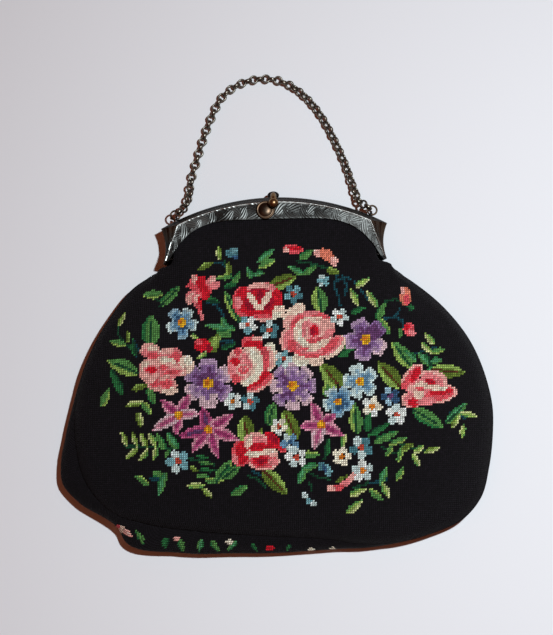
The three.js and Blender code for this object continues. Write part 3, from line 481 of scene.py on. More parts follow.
# Roses and the carnation are built up from overlapping patches: middle, half length, half width, turn and wool.
# Each is listed from its outermost petals inwards.
ROSES = [
    # Great pink rose in the middle
    (311, 342, 23, 16, 0, "rose"), (294, 316.5, 15.5, 8.5, -48, "blush"), (290, 322, 8, 6, -40, "shell"),
    (287, 341, 7, 12, 0, "shell"), (288, 341, 5.5, 10, 0, "rose"), (291.5, 346, 4.5, 7, -20, "coral"),
    (301.5, 359.5, 9.5, 7, 0, "ivory"), (303, 357, 8, 4, 0, "blush"), (316, 361, 8, 5.5, 0, "blush"),
    (333, 347.5, 15, 8, -42, "blush"), (332, 346, 13.5, 6, -42, "rose"), (330, 346.5, 12, 3.6, -42, "coral"),
    (311, 352.5, 15, 5.4, 0, "coral"), (312, 352, 12, 3, 0, "rose"), (312, 328, 22.5, 17, 0, "rose"),
    (322, 319, 13, 4.6, 25, "coral"), (309, 314, 9, 3, -8, "rose"), (297, 322, 9, 4, -50, "coral"),
    (312.5, 333, 19.5, 16.5, 0, "blush"), (326, 326, 9, 7, 20, "shell"), (327, 335, 8, 4, -30, "rose"),
    (301.5, 338, 4, 9, -20, "ivory"), (318, 346.5, 12, 3.6, -22, "blush"), (313, 331, 12, 11.5, 0, "shell"),
    (306, 324.5, 6, 2.4, -40, "rose"), (303.5, 332, 2, 7, 0, "rose"), (316, 322, 6, 1.8, 15, "blush"),
    (314.5, 340, 7.5, 3, -12, "coral"), (313.8, 331.3, 6.6, 7.6, 0, "rose"),
    (313.8, 331.3, 4.8, 5.6, 0, "scarlet"), (313, 332.5, 2.6, 3.4, 0, "crimson"),
    # Red rose at the top
    (243, 302, 11, 15, 0, "coral"), (245, 300, 10, 13, 0, "scarlet"), (273, 301, 10, 14, 0, "scarlet"),
    (261, 289, 15, 6, 0, "rose"), (259, 287, 10, 4, 0, "shell"), (279, 312, 7, 6, -30, "blush"),
    (276, 316, 5, 3.4, -30, "ivory"), (238, 303, 4, 6, 0, "rose"), (259, 302, 14, 14, 0, "crimson"),
    (259, 298, 12, 7, 0, "scarlet"), (252.5, 300.5, 9.5, 3.2, 58, "blush"), (266, 300, 10, 3.4, -60, "blush"),
    (258.5, 308, 5, 3.2, 0, "blush"), (259.5, 296, 3.2, 6, 0, "crimson"), (259, 314, 14, 4, 0, "scarlet"),
    (262, 318, 11, 3.2, 0, "coral"), (264, 320, 8, 2, 0, "shell"),
    # Pink rose below it
    (255, 362, 14, 18, 0, "coral"), (252.5, 343.6, 11, 7.5, 0, "coral"), (257, 339, 5.4, 2.8, 10, "shell"),
    (253, 345.6, 9.8, 5.4, 0, "scarlet"), (269.5, 357, 7.6, 14.5, 0, "blush"), (270, 349, 5.5, 6, 0, "ivory"),
    (267.5, 359, 6, 13, 0, "shell"), (265, 360, 4, 13, 0, "coral"), (260, 383, 15.5, 7, -32, "shell"),
    (259.5, 382, 14.5, 5.6, -32, "coral"), (258, 380, 13.5, 4.2, -32, "scarlet"),
    (248.5, 366, 14.8, 19.5, 12, "blush"), (255.5, 357, 4, 9, -32, "ivory"), (259.5, 368, 3.6, 8, 12, "ivory"),
    (250, 380.5, 10, 3.2, -38, "ivory"), (240, 364.5, 12.5, 16.5, -8, "shell"), (236.5, 369, 9, 13, -8, "rose"),
    (247, 361, 3, 9, -28, "rose"), (237.8, 352, 3.4, 3.6, 0, "coral"), (235.6, 379, 4.4, 5, -20, "coral"),
    (242.5, 370, 6.5, 6.5, 0, "shell"), (243.5, 370, 4.4, 4.6, 0, "coral"), (243.5, 369.4, 2.2, 2.4, 0, "rose"),
    (235, 362, 4.6, 3.8, 10, "scarlet"),
    # Pink rose at the left
    (165, 367, 18, 13, 10, "shell"), (150, 351.5, 9.8, 7.6, 0, "shell"), (150, 354, 8, 5, 0, "rose"),
    (153, 356, 6, 3.2, 0, "coral"), (152, 349.5, 5, 3, 0, "blush"), (171, 354.5, 11.5, 6.5, 5, "rose"),
    (167, 351.5, 7, 3.2, -5, "shell"), (176, 358.5, 5.5, 5.5, 0, "coral"), (186.5, 365, 7.5, 9.5, -15, "blush"),
    (188.6, 361.5, 4.4, 5, 0, "ivory"), (181, 372, 6, 5, 0, "shell"), (162, 384, 16, 9, 10, "shell"),
    (170, 391, 8.5, 4, 0, "blush"), (161, 382, 14.5, 6.4, 10, "rose"), (153.5, 383, 6, 4, 20, "coral"),
    (166.5, 384, 7, 4.4, 10, "coral"), (149.5, 371.5, 10.5, 12, 0, "shell"), (146, 367, 5, 6, 0, "blush"),
    (170, 370, 12, 9, 0, "rose"), (167.5, 361.5, 8.5, 3.8, 5, "blush"), (167, 360.5, 5.5, 2.4, 5, "ivory"),
    (174, 366.5, 9, 2.6, 12, "shell"), (172, 373, 8, 2.4, -10, "coral"), (164, 368, 3.4, 3, 0, "coral"),
    (165, 378, 6, 2.2, -20, "shell"), (151.6, 370.4, 7.4, 4.6, 0, "rose"),
    (151.6, 370.4, 5.4, 2.9, 0, "scarlet"),
    # Rose at the right, half open
    (423, 390, 16, 11, 0, "rose"), (411, 377, 15, 7, -52, "shell"), (411.5, 377.5, 13.5, 5.4, -52, "coral"),
    (415, 375, 9, 3.4, -55, "scarlet"), (405, 386, 5, 4, 0, "coral"), (433, 380, 14, 9, 20, "shell"),
    (432, 381, 11.5, 6.5, 20, "rose"), (440, 395, 17, 8, -14, "shell"), (438, 395, 16, 6.4, -14, "coral"),
    (440, 392.5, 12, 2.8, -8, "scarlet"), (411, 400, 11, 8.5, 0, "shell"), (412.5, 400, 9, 7, 0, "rose"),
    (413, 402.5, 6, 4.4, 0, "scarlet"), (426, 402, 10, 4, -8, "rose"), (415.5, 391, 10, 8, 15, "rose"),
    (413, 389, 6, 4, 0, "shell"), (418, 395, 6, 4, 0, "blush"), (419, 389, 5, 1.8, 10, "coral"),
    (431, 387.5, 14, 2.8, 10, "blush"), (419, 385, 6, 2.6, -15, "blush"), (442, 388.5, 5, 2, 10, "ivory"),
    (429.5, 382, 5.2, 3.4, 25, "scarlet"), (430, 382, 3, 1.8, 25, "crimson"),
    # Red rose at the bottom
    (257, 454, 14, 11, 0, "coral"), (240.5, 453, 8.5, 13, 0, "coral"), (242.5, 452, 6.8, 11.5, 0, "scarlet"),
    (235, 458, 3, 6, -15, "rose"), (270.5, 440, 10, 8, 42, "scarlet"), (273, 438, 6, 3, 45, "crimson"),
    (283, 447.5, 6.5, 3.6, 5, "coral"), (281, 446.5, 5, 2.4, 5, "scarlet"),
    (255.7, 441.5, 12.5, 9.5, 0, "shell"), (257, 443, 11, 7.6, 0, "rose"), (258, 446, 10.4, 5, 0, "scarlet"),
    (250, 440, 3, 6, 20, "blush"), (264, 460.5, 15.5, 8.8, 0, "shell"), (264, 460, 14, 7, 0, "coral"),
    (260.5, 459.5, 8.4, 4.6, 0, "scarlet"), (261, 460, 4.6, 2.4, 0, "crimson"), (273, 461, 5, 4, 0, "rose"),
    (253.5, 453.4, 8, 3, 0, "blush"), (268.5, 451.4, 9.6, 3.2, -4, "blush"), (274, 453.5, 5, 2.4, 0, "shell"),
    (253.5, 453.4, 5, 1.6, 0, "ivory"),
    # Carnation at the upper left
    (196, 285, 7, 9, -20, "coral"), (194, 281, 3, 5, -20, "shell"), (201, 283, 5, 7, 0, "scarlet"),
    (209, 285, 4, 10, 20, "rose"), (212, 281, 3, 5, 20, "shell"), (215, 286, 5, 4, -20, "rose"),
    (193, 297, 7, 6, 0, "rose"), (190, 300, 4, 6, 20, "shell"), (203, 292, 8, 8, 0, "coral"),
    (203, 289, 4.4, 7, -25, "scarlet"), (206, 296, 4, 6, 20, "scarlet"), (196, 302, 4, 8, -20, "rose"),
    (199, 308, 3, 10, -14, "coral"), (201, 316, 2, 6, -10, "rose"), (197, 299, 3, 4, 0, "shell"),
    (188, 287, 3, 2, 0, "coral"), (200, 304, 1.6, 8, -14, "scarlet"),
    # Red bud and its leaves
    (213, 345, 6, 8, 0, "moss"), (215, 343, 4, 8, 30, "lime"), (202, 345.5, 8.4, 6.8, 0, "scarlet"),
    (199, 343, 4, 3, 0, "coral"), (209, 349, 3, 4, 0, "crimson"),
    # Coral buds along the top and the right
    (293, 250, 10, 4.6, 4, "coral"), (295, 249, 7, 2.6, 4, "scarlet"), (286, 251, 4, 3, 0, "shell"),
    (322, 254, 8, 4.6, 10, "shell"), (327, 256, 9, 5, 40, "salmon"), (334, 262, 4, 5, 0, "shell"),
    (328, 254, 4, 4, 0, "salmon"), (406, 298, 5.6, 9.4, 0, "salmon"), (407, 301, 3.4, 5, 0, "coral"),
    (403, 292, 2, 4, 0, "shell"), (412, 308, 3, 2, 30, "fern"), (409, 330, 6, 6.4, 0, "coral"),
    (412, 334, 4, 3, 30, "rose"), (407, 328, 3, 3, 0, "scarlet"), (400, 334, 2.2, 5, 10, "leaf"),
    # Blue buds and loose blossoms
    (231, 254, 6.6, 4.4, 10, "lagoon"), (234, 251, 4, 2.6, 0, "sea"), (235, 258, 3, 2, 0, "navy"),
    (321, 465, 4, 5, -30, "lagoon"), (327, 469, 4, 6, -20, "sea"), (324, 467, 2, 4, -30, "navy"),
    (304, 494, 3.6, 3, 30, "ice"), (308, 499, 3.6, 3, 40, "sea"), (313, 502, 3.4, 3, 40, "ice"),
    # Pink arc at the lower right
    (350, 476, 7, 3, -48, "shell"), (344, 482, 6, 3.4, -35, "rose"), (337, 486, 6, 3.4, -18, "coral"),
    (330, 487, 4.4, 3.2, 0, "shell"), (340, 478, 8, 2, -30, "moss"),
]


def sewn(x, y, leaves, lilies=(), patches=(), small_flowers=()):
    """Wool of each stitch of a bouquet, worked from its stems up to its small flowers."""
    chart = Chart(x, y)
    for work, rows in (
        (chart.stem, STEMS), (chart.leaf, leaves), (chart.flower, LARGE_FLOWERS),
        (chart.lily, lilies), (chart.patch, patches), (chart.small_flower, small_flowers),
    ):
        for row in rows:
            work(*row)
    return chart.wool


def add_node(tree, kind, inputs, **settings):
    """Shader node with its settings and inputs, each of them a value or another node's output."""
    node = tree.nodes.new("ShaderNode" + kind)
    for name, value in settings.items():
        setattr(node, name, value)
    for name, value in inputs.items():
        if isinstance(value, bpy.types.NodeSocket):
            tree.links.new(value, node.inputs[name])
        else:
            node.inputs[name].default_value = value
    return node


def ranged(tree, value, low, high, to_low, to_high):
    inputs = {"Value": value, "From Min": low, "From Max": high, "To Min": to_low, "To Max": to_high}
    return add_node(tree, "MapRange", inputs).outputs["Result"]


# A stitch is an oval on the slant: how fast it falls away along and across, and how far its wool is darkened by
# painted shade in the gaps and brightened by a painted highlight on its crown
STITCH_ALONG = 0.9
STITCH_ACROSS = 3.2
STITCH_SHADE_AND_HIGHLIGHT = (0.1, 0.75, 0.3, 1.4)
STITCH_HEIGHT = 0.5


def wool_cloth():
    """Slanting stitches in each one's own wool, with painted shade in the gaps between them and a painted
    highlight on each stitch's crown.
    """
    cloth = bpy.data.materials.new("petit-point wool")
    cloth.use_nodes = True
    tree = cloth.node_tree
    tree.nodes.clear()

    def maths(operation, one, other=0, clamp=False):
        return add_node(tree, "Math", {0: one, 1: other}, operation=operation, use_clamp=clamp).outputs[0]

    squares = add_node(tree, "UVMap", {}, uv_map="UVMap")
    apart = add_node(tree, "SeparateXYZ", {0: squares.outputs[0]})
    across, up = (maths("SUBTRACT", maths("FRACT", apart.outputs[i]), 0.5) for i in (0, 1))
    along = maths("ADD", across, up)
    beside = maths("SUBTRACT", across, up)
    oval = maths("ADD", maths("MULTIPLY", maths("MULTIPLY", along, along), STITCH_ALONG),
                 maths("MULTIPLY", maths("MULTIPLY", beside, beside), STITCH_ACROSS))
    stitch = maths("SUBTRACT", 1, oval, clamp=True)
    wool = add_node(tree, "Attribute", {}, attribute_name="wool").outputs["Color"]
    # Painted light: the wool is darkened as painted shade where the stitches part, and lightened past its own
    # colour as a painted highlight on each crown
    gap_shade_and_crown_highlight = ranged(tree, stitch, *STITCH_SHADE_AND_HIGHLIGHT)
    lit_and_shaded_wool = add_node(tree, "VectorMath", {0: wool, "Scale": gap_shade_and_crown_highlight}, operation="SCALE").outputs[0]
    bump = {"Strength": 0.9, "Distance": STITCH_HEIGHT * MILLIMETRE, "Height": stitch}
    height = add_node(tree, "Bump", bump).outputs[0]
    skin = add_node(tree, "BsdfPrincipled", {
        "Roughness": 0.85, "Sheen Weight": 0.02, "Sheen Roughness": 0.5, "Specular IOR Level": 0.12,
        "Base Color": lit_and_shaded_wool, "Normal": height,
    })
    add_node(tree, "OutputMaterial", {"Surface": skin.outputs[0]})
    return cloth


petit_point = wool_cloth()

# Where the chart lies on the bag: its unit is one pixel of the photograph, and its places are counted from the
# photograph's upper left corner. The photograph looks down at a slant and stands a little askew.
CHART_PIXEL = 0.461
CHART_MIDDLE = (278.4, 393.9)
VIEW_TILT = math.radians(82)
VIEW_TURN = math.radians(1.5)
VIEW_DISTANCE = 800


def chart_places(places):
    x, y, z = (places - [*BAG_MIDDLE, bag_high.z]).T
    up = y * math.sin(VIEW_TILT) + z * math.cos(VIEW_TILT)
    pixel = CHART_PIXEL * (1 - z / VIEW_DISTANCE)
    across = x * math.cos(VIEW_TURN) - up * math.sin(VIEW_TURN)
    upwards = x * math.sin(VIEW_TURN) + up * math.cos(VIEW_TURN)
    return CHART_MIDDLE[0] + across / pixel, CHART_MIDDLE[1] - upwards / pixel


# How much lighter or darker one stitch of a wool may be than the next
WOOL_SPREAD = 0.1


def dye(piece, **design):
    """Gives each stitch the wool that its bouquet has there, a little uneven from stitch to stitch."""
    mesh = piece.data
    shades = np.array([WOOLS[name] for name in WOOL_NAMES]) / 255
    colour = shades[sewn(*chart_places(read(mesh.polygons, "center") / MILLIMETRE), **design)]
    colour = np.clip(colour * (1 + WOOL_SPREAD * uneven.standard_normal((len(colour), 1))), 0, 1) ** 2.2
    corners = read(mesh.polygons, "loop_total", 1, int)[:, 0]
    colour = np.repeat(np.column_stack([colour, np.ones(len(colour))]), corners, axis=0)
    mesh.color_attributes.new("wool", "FLOAT_COLOR", "CORNER").data.foreach_set("color", colour.ravel())


def finish_panel(piece, node):
    apply_modifier(piece, "SOLIDIFY", thickness=CLOTH_THICKNESS * MILLIMETRE, offset=-1, use_even_offset=False)
    bpy.ops.object.shade_smooth()
    piece.data.materials.append(petit_point)
    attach(piece, "root")
    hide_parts(node)


uneven = np.random.default_rng(7)
front_surface = panel_surface("front_panel", up=True)
front_panel = stitched_panel("stitched_front", front_surface, outwards=True)
dye(front_panel, leaves=LEAVES + FERN, lilies=LILIES, patches=ROSES, small_flowers=SMALL_FLOWERS)
finish_panel(front_panel, "front_panel")


# Back panel
# The back is worked like the front, with a plainer bouquet. It lies flat on the surface, and at the lower left
# it has rolled forward past the seam, so that a strip of stray leaves and petals shows.
FRINGE_LEAVES = [
    (138, 529, 147, 543, 5.4, "green"), (168, 535, 167, 547, 7, "dark"), (181, 536, 185, 550, 6, "green"),
    (203, 537, 200, 550, 6.4, "fresh"), (211, 538, 221, 550, 5.4, "green"), (238, 538, 228, 549, 5, "fresh"),
    (251, 541, 258, 550, 4, "dark"), (290, 542, 286, 550, 4, "dark"),
]
FRINGE_PETALS = [
    (124, 528, 5, 3.2, 30, "blush"), (130, 532, 5, 3, 35, "shell"), (121, 525, 2, 2, 0, "coral"),
    (178, 536.5, 3.4, 2, 0, "shell"), (230, 540, 4, 2.4, 0, "ivory"), (270, 546, 4.4, 3, 0, "scarlet"),
    (311, 548, 3, 2, 0, "ivory"), (332, 547, 3, 2, 0, "ivory"), (458, 519, 3, 3, 0, "crimson"),
]

back_surface = panel_surface("back_panel", up=False)
back_panel = stitched_panel("stitched_back", back_surface, outwards=False)
dye(back_panel, leaves=LEAVES + FRINGE_LEAVES, patches=FRINGE_PETALS)
finish_panel(back_panel, "back_panel")


# Front half of the frame
# Two dished halves of old silver, stamped from sheet and closed rim to rim. Each has a fluted outer wall, wide
# at the shoulders and drawn to a narrow tip, and a face plate. The front one is engraved with feathery leaves.
FRAME_WIDTH = 107.4
FRAME_LIFT = 11
HALF_DEPTH = 8
METAL = 1
RIM_SLOPE = 3.5
SIDE_SLOPE = 8.1
TIP_SLOPE = 2.2
TIP_EDGE = 0.6
TIP_WIDTH = 1.2
SIDE_WAIST = 2
WAIST_SHARE = 0.45
LOWER_CURVE = 5
CORNER_SHARE = 0.86
FACE_HEIGHT = 8.5
SEAM_GAP = 0.3
BEAD_PITCH = 1.2

half_width = FRAME_WIDTH / 2
arch_radius = (half_width**2 + FRAME_RISE**2) / (2 * FRAME_RISE)
face_half = half_width - SIDE_SLOPE
face_middle = FRAME_RISE - RIM_SLOPE - FACE_HEIGHT
tip_face = half_width - TIP_SLOPE - TIP_EDGE
tip_lower = tip_face - TIP_WIDTH


def arch(x, inset):
    radius = arch_radius - inset
    return np.stack([x, FRAME_RISE - inset - (radius - np.sqrt(radius**2 - x**2))], -1)


def lower_edge(x):
    return np.stack([x, face_middle - (face_middle + FRAME_DROP) * np.abs(x / tip_lower) ** LOWER_CURVE], -1)


def frame_lines(side_steps, top_steps):
    """Rim, face and lower edge of a half in plan, from its left tip over the arch to its right tip."""
    q = np.linspace(0, 1, side_steps, endpoint=False)[:, None]
    bow = (q[:, 0] - WAIST_SHARE) / (1 - WAIST_SHARE)
    rim = np.stack([half_width - SIDE_WAIST * (1 - bow**2), -FRAME_DROP * (1 - q[:, 0])], -1)
    corner = arch(np.array(face_half), RIM_SLOPE)
    face = np.array([tip_face, -FRAME_DROP]) * (1 - q) + corner * q
    lower = lower_edge(tip_lower * (1 - q[:, 0]) + tip_lower * CORNER_SHARE * q[:, 0])
    share = np.linspace(-1, 1, top_steps)
    lines = []
    for side, top in (
        (rim, arch(share * half_width, 0)),
        (face, arch(share * face_half, RIM_SLOPE)),
        (lower, lower_edge(share * tip_lower * CORNER_SHARE)),
    ):
        lines.append(np.concatenate([side * [-1, 1], top, side[::-1]]))
    side_share = np.concatenate([1 - q[:, 0], np.zeros(top_steps), 1 - q[::-1, 0]])
    return lines, side_share


def frame_grid(side_steps, top_steps, wall_steps, face_steps):
    """Smooth outer side of a half: a grid of points from tip to tip and from rim to lower edge."""
    plan, side_share = frame_lines(side_steps, top_steps)
    top = FRAME_LIFT + HALF_DEPTH
    heights = (FRAME_LIFT + SEAM_GAP / 2, top, top)
    rim, face, lower = (np.column_stack([p, np.full(len(p), z)])[:, None] for p, z in zip(plan, heights))
    wall = np.linspace(0, 1, wall_steps)[None, :, None]
    plate = np.linspace(0, 1, face_steps)[None, 1:, None]
    grid = np.concatenate([rim * (1 - wall) + face * wall, face * (1 - plate) + lower * plate], 1)
    return grid, side_share


def outward_of(grid):
    along, across = np.gradient(grid, axis=0), np.gradient(grid, axis=1)
    normal = np.cross(across, along)
    normal /= np.linalg.norm(normal, axis=2, keepdims=True)
    return normal * np.sign(normal[len(grid) // 2, 3, 2])


# Grooves round the wall: where each starts, its width as a share of the wall's, and its depth
GROOVES = [(0.3, 0.34, 0.45), (0.74, 0.2, 0.28)]
ROLL_MIDDLE, ROLL_HALF, ROLL_DEPTH = 0.14, 0.15, 0.3
BEADS_AT, BEADS_WIDE, BEAD_HEIGHT = 0.69, 0.05, 0.22
TOP_SHARE = 0.45


def flutes(grid_shape, wall_steps, side_share):
    """Grooves and ridges that run round the wall, strongest at its sides: height in millimetres."""
    w = np.linspace(0, 1, wall_steps)
    rib = np.zeros(wall_steps)
    for start, width, depth in GROOVES:
        rib += -depth * np.sin(np.pi * np.clip((w - start) / width, 0, 1)) ** 2
    roll = 1 - np.sqrt(np.clip(1 - ((w - ROLL_MIDDLE) / ROLL_HALF) ** 2, 0, 1))
    rib += -ROLL_DEPTH * roll * (w < GROOVES[0][0])
    rise = np.zeros(grid_shape)
    strength = TOP_SHARE + (1 - TOP_SHARE) * np.sqrt(np.clip(side_share, 0, 1))
    rise[:, :wall_steps] = rib[None] * strength[:, None]
    beads = np.clip(np.cos(math.tau * side_share * FRAME_DROP / BEAD_PITCH), 0, 1) * (side_share > 0)
    rise[:, :wall_steps] += (BEAD_HEIGHT * beads)[:, None] * np.exp(-(((w - BEADS_AT) / BEADS_WIDE) ** 2))[None]
    return rise


# Leaves of the engraving: height, size and spacing, lines on each, the share of the face's height at which they
# sprout beside its middle line, and how they turn, bend and vary in size from leaf to leaf
ENGRAVED_ROWS = 41
RELIEF = 0.15
LEAF_LENGTH = 12.5
LEAF_WIDTH = 5.4
LEAF_SPACING = 3.7
FIRST_LEAF = 1.5
LEAF_LINES = 4
SPROUT_SHARE = 0.17
LEAF_TURN, TURN_SWAY, LEAF_DROOP = 30, 14, 6
LEAF_BEND = 0.5
SIZE_SWAY = 0.12
LEAST_HALF = 0.01


def engraving(upper, lower):
    """Height of the feathery leaves over the face, in millimetres. They sprout in turn from both sides of the
    face's middle line, sweep out to its tips and lie each over the last."""
    so_far = length_so_far((upper + lower)[:, 0] / 2)
    out = np.abs(so_far - so_far[-1] / 2)[:, None]
    tall = np.linalg.norm(upper - lower, axis=-1)
    share = np.linspace(0, 1, ENGRAVED_ROWS)[None]
    aside = (0.5 - share) * tall
    rise = np.zeros((len(so_far), ENGRAVED_ROWS))
    order = np.argsort(out[:, 0])
    for k in range(int(out.max() / LEAF_SPACING)):
        place = FIRST_LEAF + k * LEAF_SPACING
        room = np.interp(place, out[order, 0], tall[order, 0]) / FACE_HEIGHT
        side = 1 if k % 2 else -1
        turn = math.radians(side * (LEAF_TURN + TURN_SWAY * math.sin(1.7 * k)) - LEAF_DROOP)
        size = room**0.7 * (1 + SIZE_SWAY * math.sin(2.3 * k + 1))
        x, y = out - place, aside - side * SPROUT_SHARE * room * FACE_HEIGHT
        along = (x * math.cos(turn) + y * math.sin(turn)) / (LEAF_LENGTH * size) + 0.5
        across = (y * math.cos(turn) - x * math.sin(turn)) / (LEAF_WIDTH * size) * 2
        across = across - LEAF_BEND * side * np.sin(np.pi * np.clip(along, 0, 1)) ** 2
        half = np.maximum(np.sin(np.pi * np.clip(along, 0, 1) ** 0.75) ** 0.7, LEAST_HALF)
        dome = np.clip(1 - (across / half) ** 2, 0, 1) * (along > 0) * (along < 1)
        lines = 0.5 + 0.5 * np.cos(math.pi * LEAF_LINES * across / half)
        leaf = RELIEF * dome**0.35 * (0.25 + 0.75 * lines**1.5)
        rise = np.where(dome > 0.02, leaf, rise)
    return rise


# How the cloudy pattern spreads over the metal: its range, and the range that it gives
UNEVEN_WEAR = (0.3, 0.7, -0.06, 0.06)
BROWN_PATCHES = (0.35, 0.62, 0, 1)
UNEVEN_ROUGHNESS = (0.3, 0.7, 0.26, 0.4)
EDGE_TINT = (0.5, 0.5, 0.5)
GRAIN_SCALE = 1600
GRAIN_HEIGHT = 0.1


def tarnish_group():
    """Metal that is dark where it is left alone, bright where it is rubbed and where a highlight is painted on
    it, and brown in patches.
    """
    group = bpy.data.node_groups.new("tarnish", "ShaderNodeTree")
    for way, kind, names in (
        ("INPUT", "Color", ("Dark", "Bright", "Brown")),
        ("INPUT", "Float", ("Worn", "Tarnished", "Patch Scale")),
        ("OUTPUT", "Color", ("Color",)),
        ("OUTPUT", "Float", ("Roughness",)),
    ):
        for name in names:
            group.interface.new_socket(name, in_out=way, socket_type="NodeSocket" + kind)
    given, made = (group.nodes.new("NodeGroup" + end) for end in ("Input", "Output"))
    wear_and_highlight, tarnished, dark, bright, brown, patch_scale = (
        given.outputs[name] for name in ("Worn", "Tarnished", "Dark", "Bright", "Brown", "Patch Scale")
    )
    place = add_node(group, "TexCoord", {}).outputs["Object"]
    cloud = add_node(group, "TexNoise", {"Vector": place, "Scale": patch_scale, "Detail": 4}).outputs["Fac"]
    uneven_wear, patches, rough = (
        ranged(group, cloud, *ends) for ends in (UNEVEN_WEAR, BROWN_PATCHES, UNEVEN_ROUGHNESS)
    )
    mixed_wear_and_highlight = add_node(group, "Math", {0: wear_and_highlight, 1: uneven_wear}, operation="ADD", use_clamp=True).outputs[0]
    share = add_node(group, "Math", {0: tarnished, 1: patches}, operation="MULTIPLY").outputs[0]
    metal = dark
    for factor, other in ((mixed_wear_and_highlight, bright), (share, brown)):
        mix = add_node(group, "Mix", {"Factor": factor, "A": metal, "B": other}, data_type="RGBA")
        metal = mix.outputs["Result"]
    group.links.new(metal, made.inputs["Color"])
    group.links.new(rough, made.inputs["Roughness"])
    return group


tarnish = tarnish_group()


def old_metal(name, dark, bright, brown, patch_scale, wear_and_highlight=None, tarnished=None):
    """Old metal. How worn and tarnished it is, with any painted highlight counted in with the wear, comes from
    the mesh unless it is given.
    """
    metal = bpy.data.materials.new(name)
    metal.use_nodes = True
    tree = metal.node_tree
    skin = tree.nodes["Principled BSDF"]
    look = add_node(tree, "Group", {}, node_tree=tarnish)
    for socket, colour in (("Dark", dark), ("Bright", bright), ("Brown", brown)):
        look.inputs[socket].default_value = (*colour, 1)
    look.inputs["Patch Scale"].default_value = patch_scale
    # The wear read from the mesh also carries the painted highlights of the engraved front half
    for socket, key, value in (("Worn", "wear_and_highlight", wear_and_highlight), ("Tarnished", "tarnish", tarnished)):
        if value is None:
            from_mesh = add_node(tree, "Attribute", {}, attribute_name=key)
            tree.links.new(from_mesh.outputs["Fac"], look.inputs[socket])
        else:
            look.inputs[socket].default_value = value
    skin.inputs["Specular Tint"].default_value = (*EDGE_TINT, 1)
    skin.inputs["Metallic"].default_value = 1
    place = add_node(tree, "TexCoord", {}).outputs["Object"]
    grain = add_node(tree, "TexNoise", {"Vector": place, "Scale": GRAIN_SCALE}).outputs["Fac"]
    bump = add_node(tree, "Bump", {"Height": grain, "Strength": 0.2, "Distance": GRAIN_HEIGHT * MILLIMETRE})
    for output, socket in (
        (look.outputs["Color"], "Base Color"), (look.outputs["Roughness"], "Roughness"),
        (bump.outputs["Normal"], "Normal"),
    ):
        tree.links.new(output, skin.inputs[socket])
    return metal


old_silver = old_metal("old silver", (0.022, 0.022, 0.021), (0.6, 0.61, 0.58), (0.07, 0.045, 0.03), 90)


def sheet_of(name, grid, wear_and_highlight=None, tarnish=None):
    """Sheet over a grid of points, with how rubbed it is, painted highlights included, and how tarnished it is at
    each.
    """
    rows, columns = grid.shape[:2]
    i, j = np.meshgrid(np.arange(rows - 1), np.arange(columns - 1), indexing="ij")
    corner = (i * columns + j).ravel()
    faces = np.stack([corner, corner + columns, corner + columns + 1, corner + 1], -1)
    mesh = bpy.data.meshes.new(name)
    mesh.from_pydata((grid.reshape(-1, 3) * MILLIMETRE).tolist(), [], faces.tolist())
    for key, values in (("wear_and_highlight", wear_and_highlight), ("tarnish", tarnish)):
        if values is not None:
            mesh.attributes.new(key, "FLOAT", "POINT").data.foreach_set("value", values.ravel())
    piece = add_object(name, mesh)
    select_only(piece)
    return piece


# How bright the metal is: rubbed on the walls and on the leaves, with a painted highlight on the leaves that
# grows from the middle to the tips, and both rubbed and painted bright as a highlight on the bead that runs along
# the face's upper edge
DULL, RUBBED_WALL = 0.02, 0.3
FACE_DULL, RUBBED_LEAF, TIP_HIGHLIGHT = 0.01, 0.04, 0.13
BEAD_WEAR_AND_HIGHLIGHT, EDGE_BEAD, EDGE_ROWS = 0.6, 0.2, 3
FLAT_TARNISH = 0.25
# Steps of a half's grid along its sides, along its top, across the wall and across the face
ENGRAVED_GRID = (95, 440, 24, ENGRAVED_ROWS + 1)
PLAIN_GRID = (60, 160, 20, 8)


def frame_half(name, engraved):
    steps = ENGRAVED_GRID if engraved else PLAIN_GRID
    wall_steps = steps[2]
    grid, side_share = frame_grid(*steps)
    outwards = outward_of(grid)
    rise = flutes(grid.shape[:2], wall_steps, side_share)
    wear_and_highlight = DULL + rise / GROOVES[0][2] * RUBBED_WALL
    if engraved:
        edge = np.minimum(np.arange(ENGRAVED_ROWS), np.arange(ENGRAVED_ROWS)[::-1])
        raised = engraving(grid[:, wall_steps - 1 : wall_steps], grid[:, -1:]) * np.clip(edge / EDGE_ROWS, 0, 1)
        rise[:, wall_steps:] = raised
        # Painted highlight: the leaves are painted brighter towards the face's tips
        near_tip = np.abs(np.linspace(-1, 1, len(grid)))[:, None] ** 2
        wear_and_highlight[:, wall_steps:] = FACE_DULL + (RUBBED_LEAF + TIP_HIGHLIGHT * near_tip) * (raised / RELIEF) ** 2
        # The bead along the face's upper edge is rubbed, and is also painted bright as a highlight line
        bead = np.exp(-(((np.arange(grid.shape[1]) - wall_steps - 1) / 2) ** 2))
        rise += EDGE_BEAD * bead
        wear_and_highlight = np.maximum(wear_and_highlight, BEAD_WEAR_AND_HIGHLIGHT * bead)
    grid = grid + outwards * rise[..., None]
    tarnish = np.zeros(grid.shape[:2])
    tarnish[:, :wall_steps] = (FLAT_TARNISH + (1 - FLAT_TARNISH) * (side_share > 0))[:, None]
    if not engraved:
        grid[..., 2] = 2 * FRAME_LIFT - grid[..., 2]
    grid = grid + [frame_x, frame_y, 0]
    return sheet_of(name, grid, np.clip(wear_and_highlight, 0, 1), tarnish)


def finish_metal(piece, node, finish, angle=40):
    select_only(piece)
    bpy.ops.object.shade_smooth_by_angle(angle=math.radians(angle))
    if finish.name not in piece.data.materials:
        piece.data.materials.append(finish)
    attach(piece, "root")
    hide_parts(node)


def give_thickness(piece, inside_out):
    edit_all(piece)
    if inside_out:
        bpy.ops.mesh.flip_normals()
    bpy.ops.object.mode_set(mode="OBJECT")
    apply_modifier(piece, "SOLIDIFY", thickness=METAL * MILLIMETRE, offset=-1)


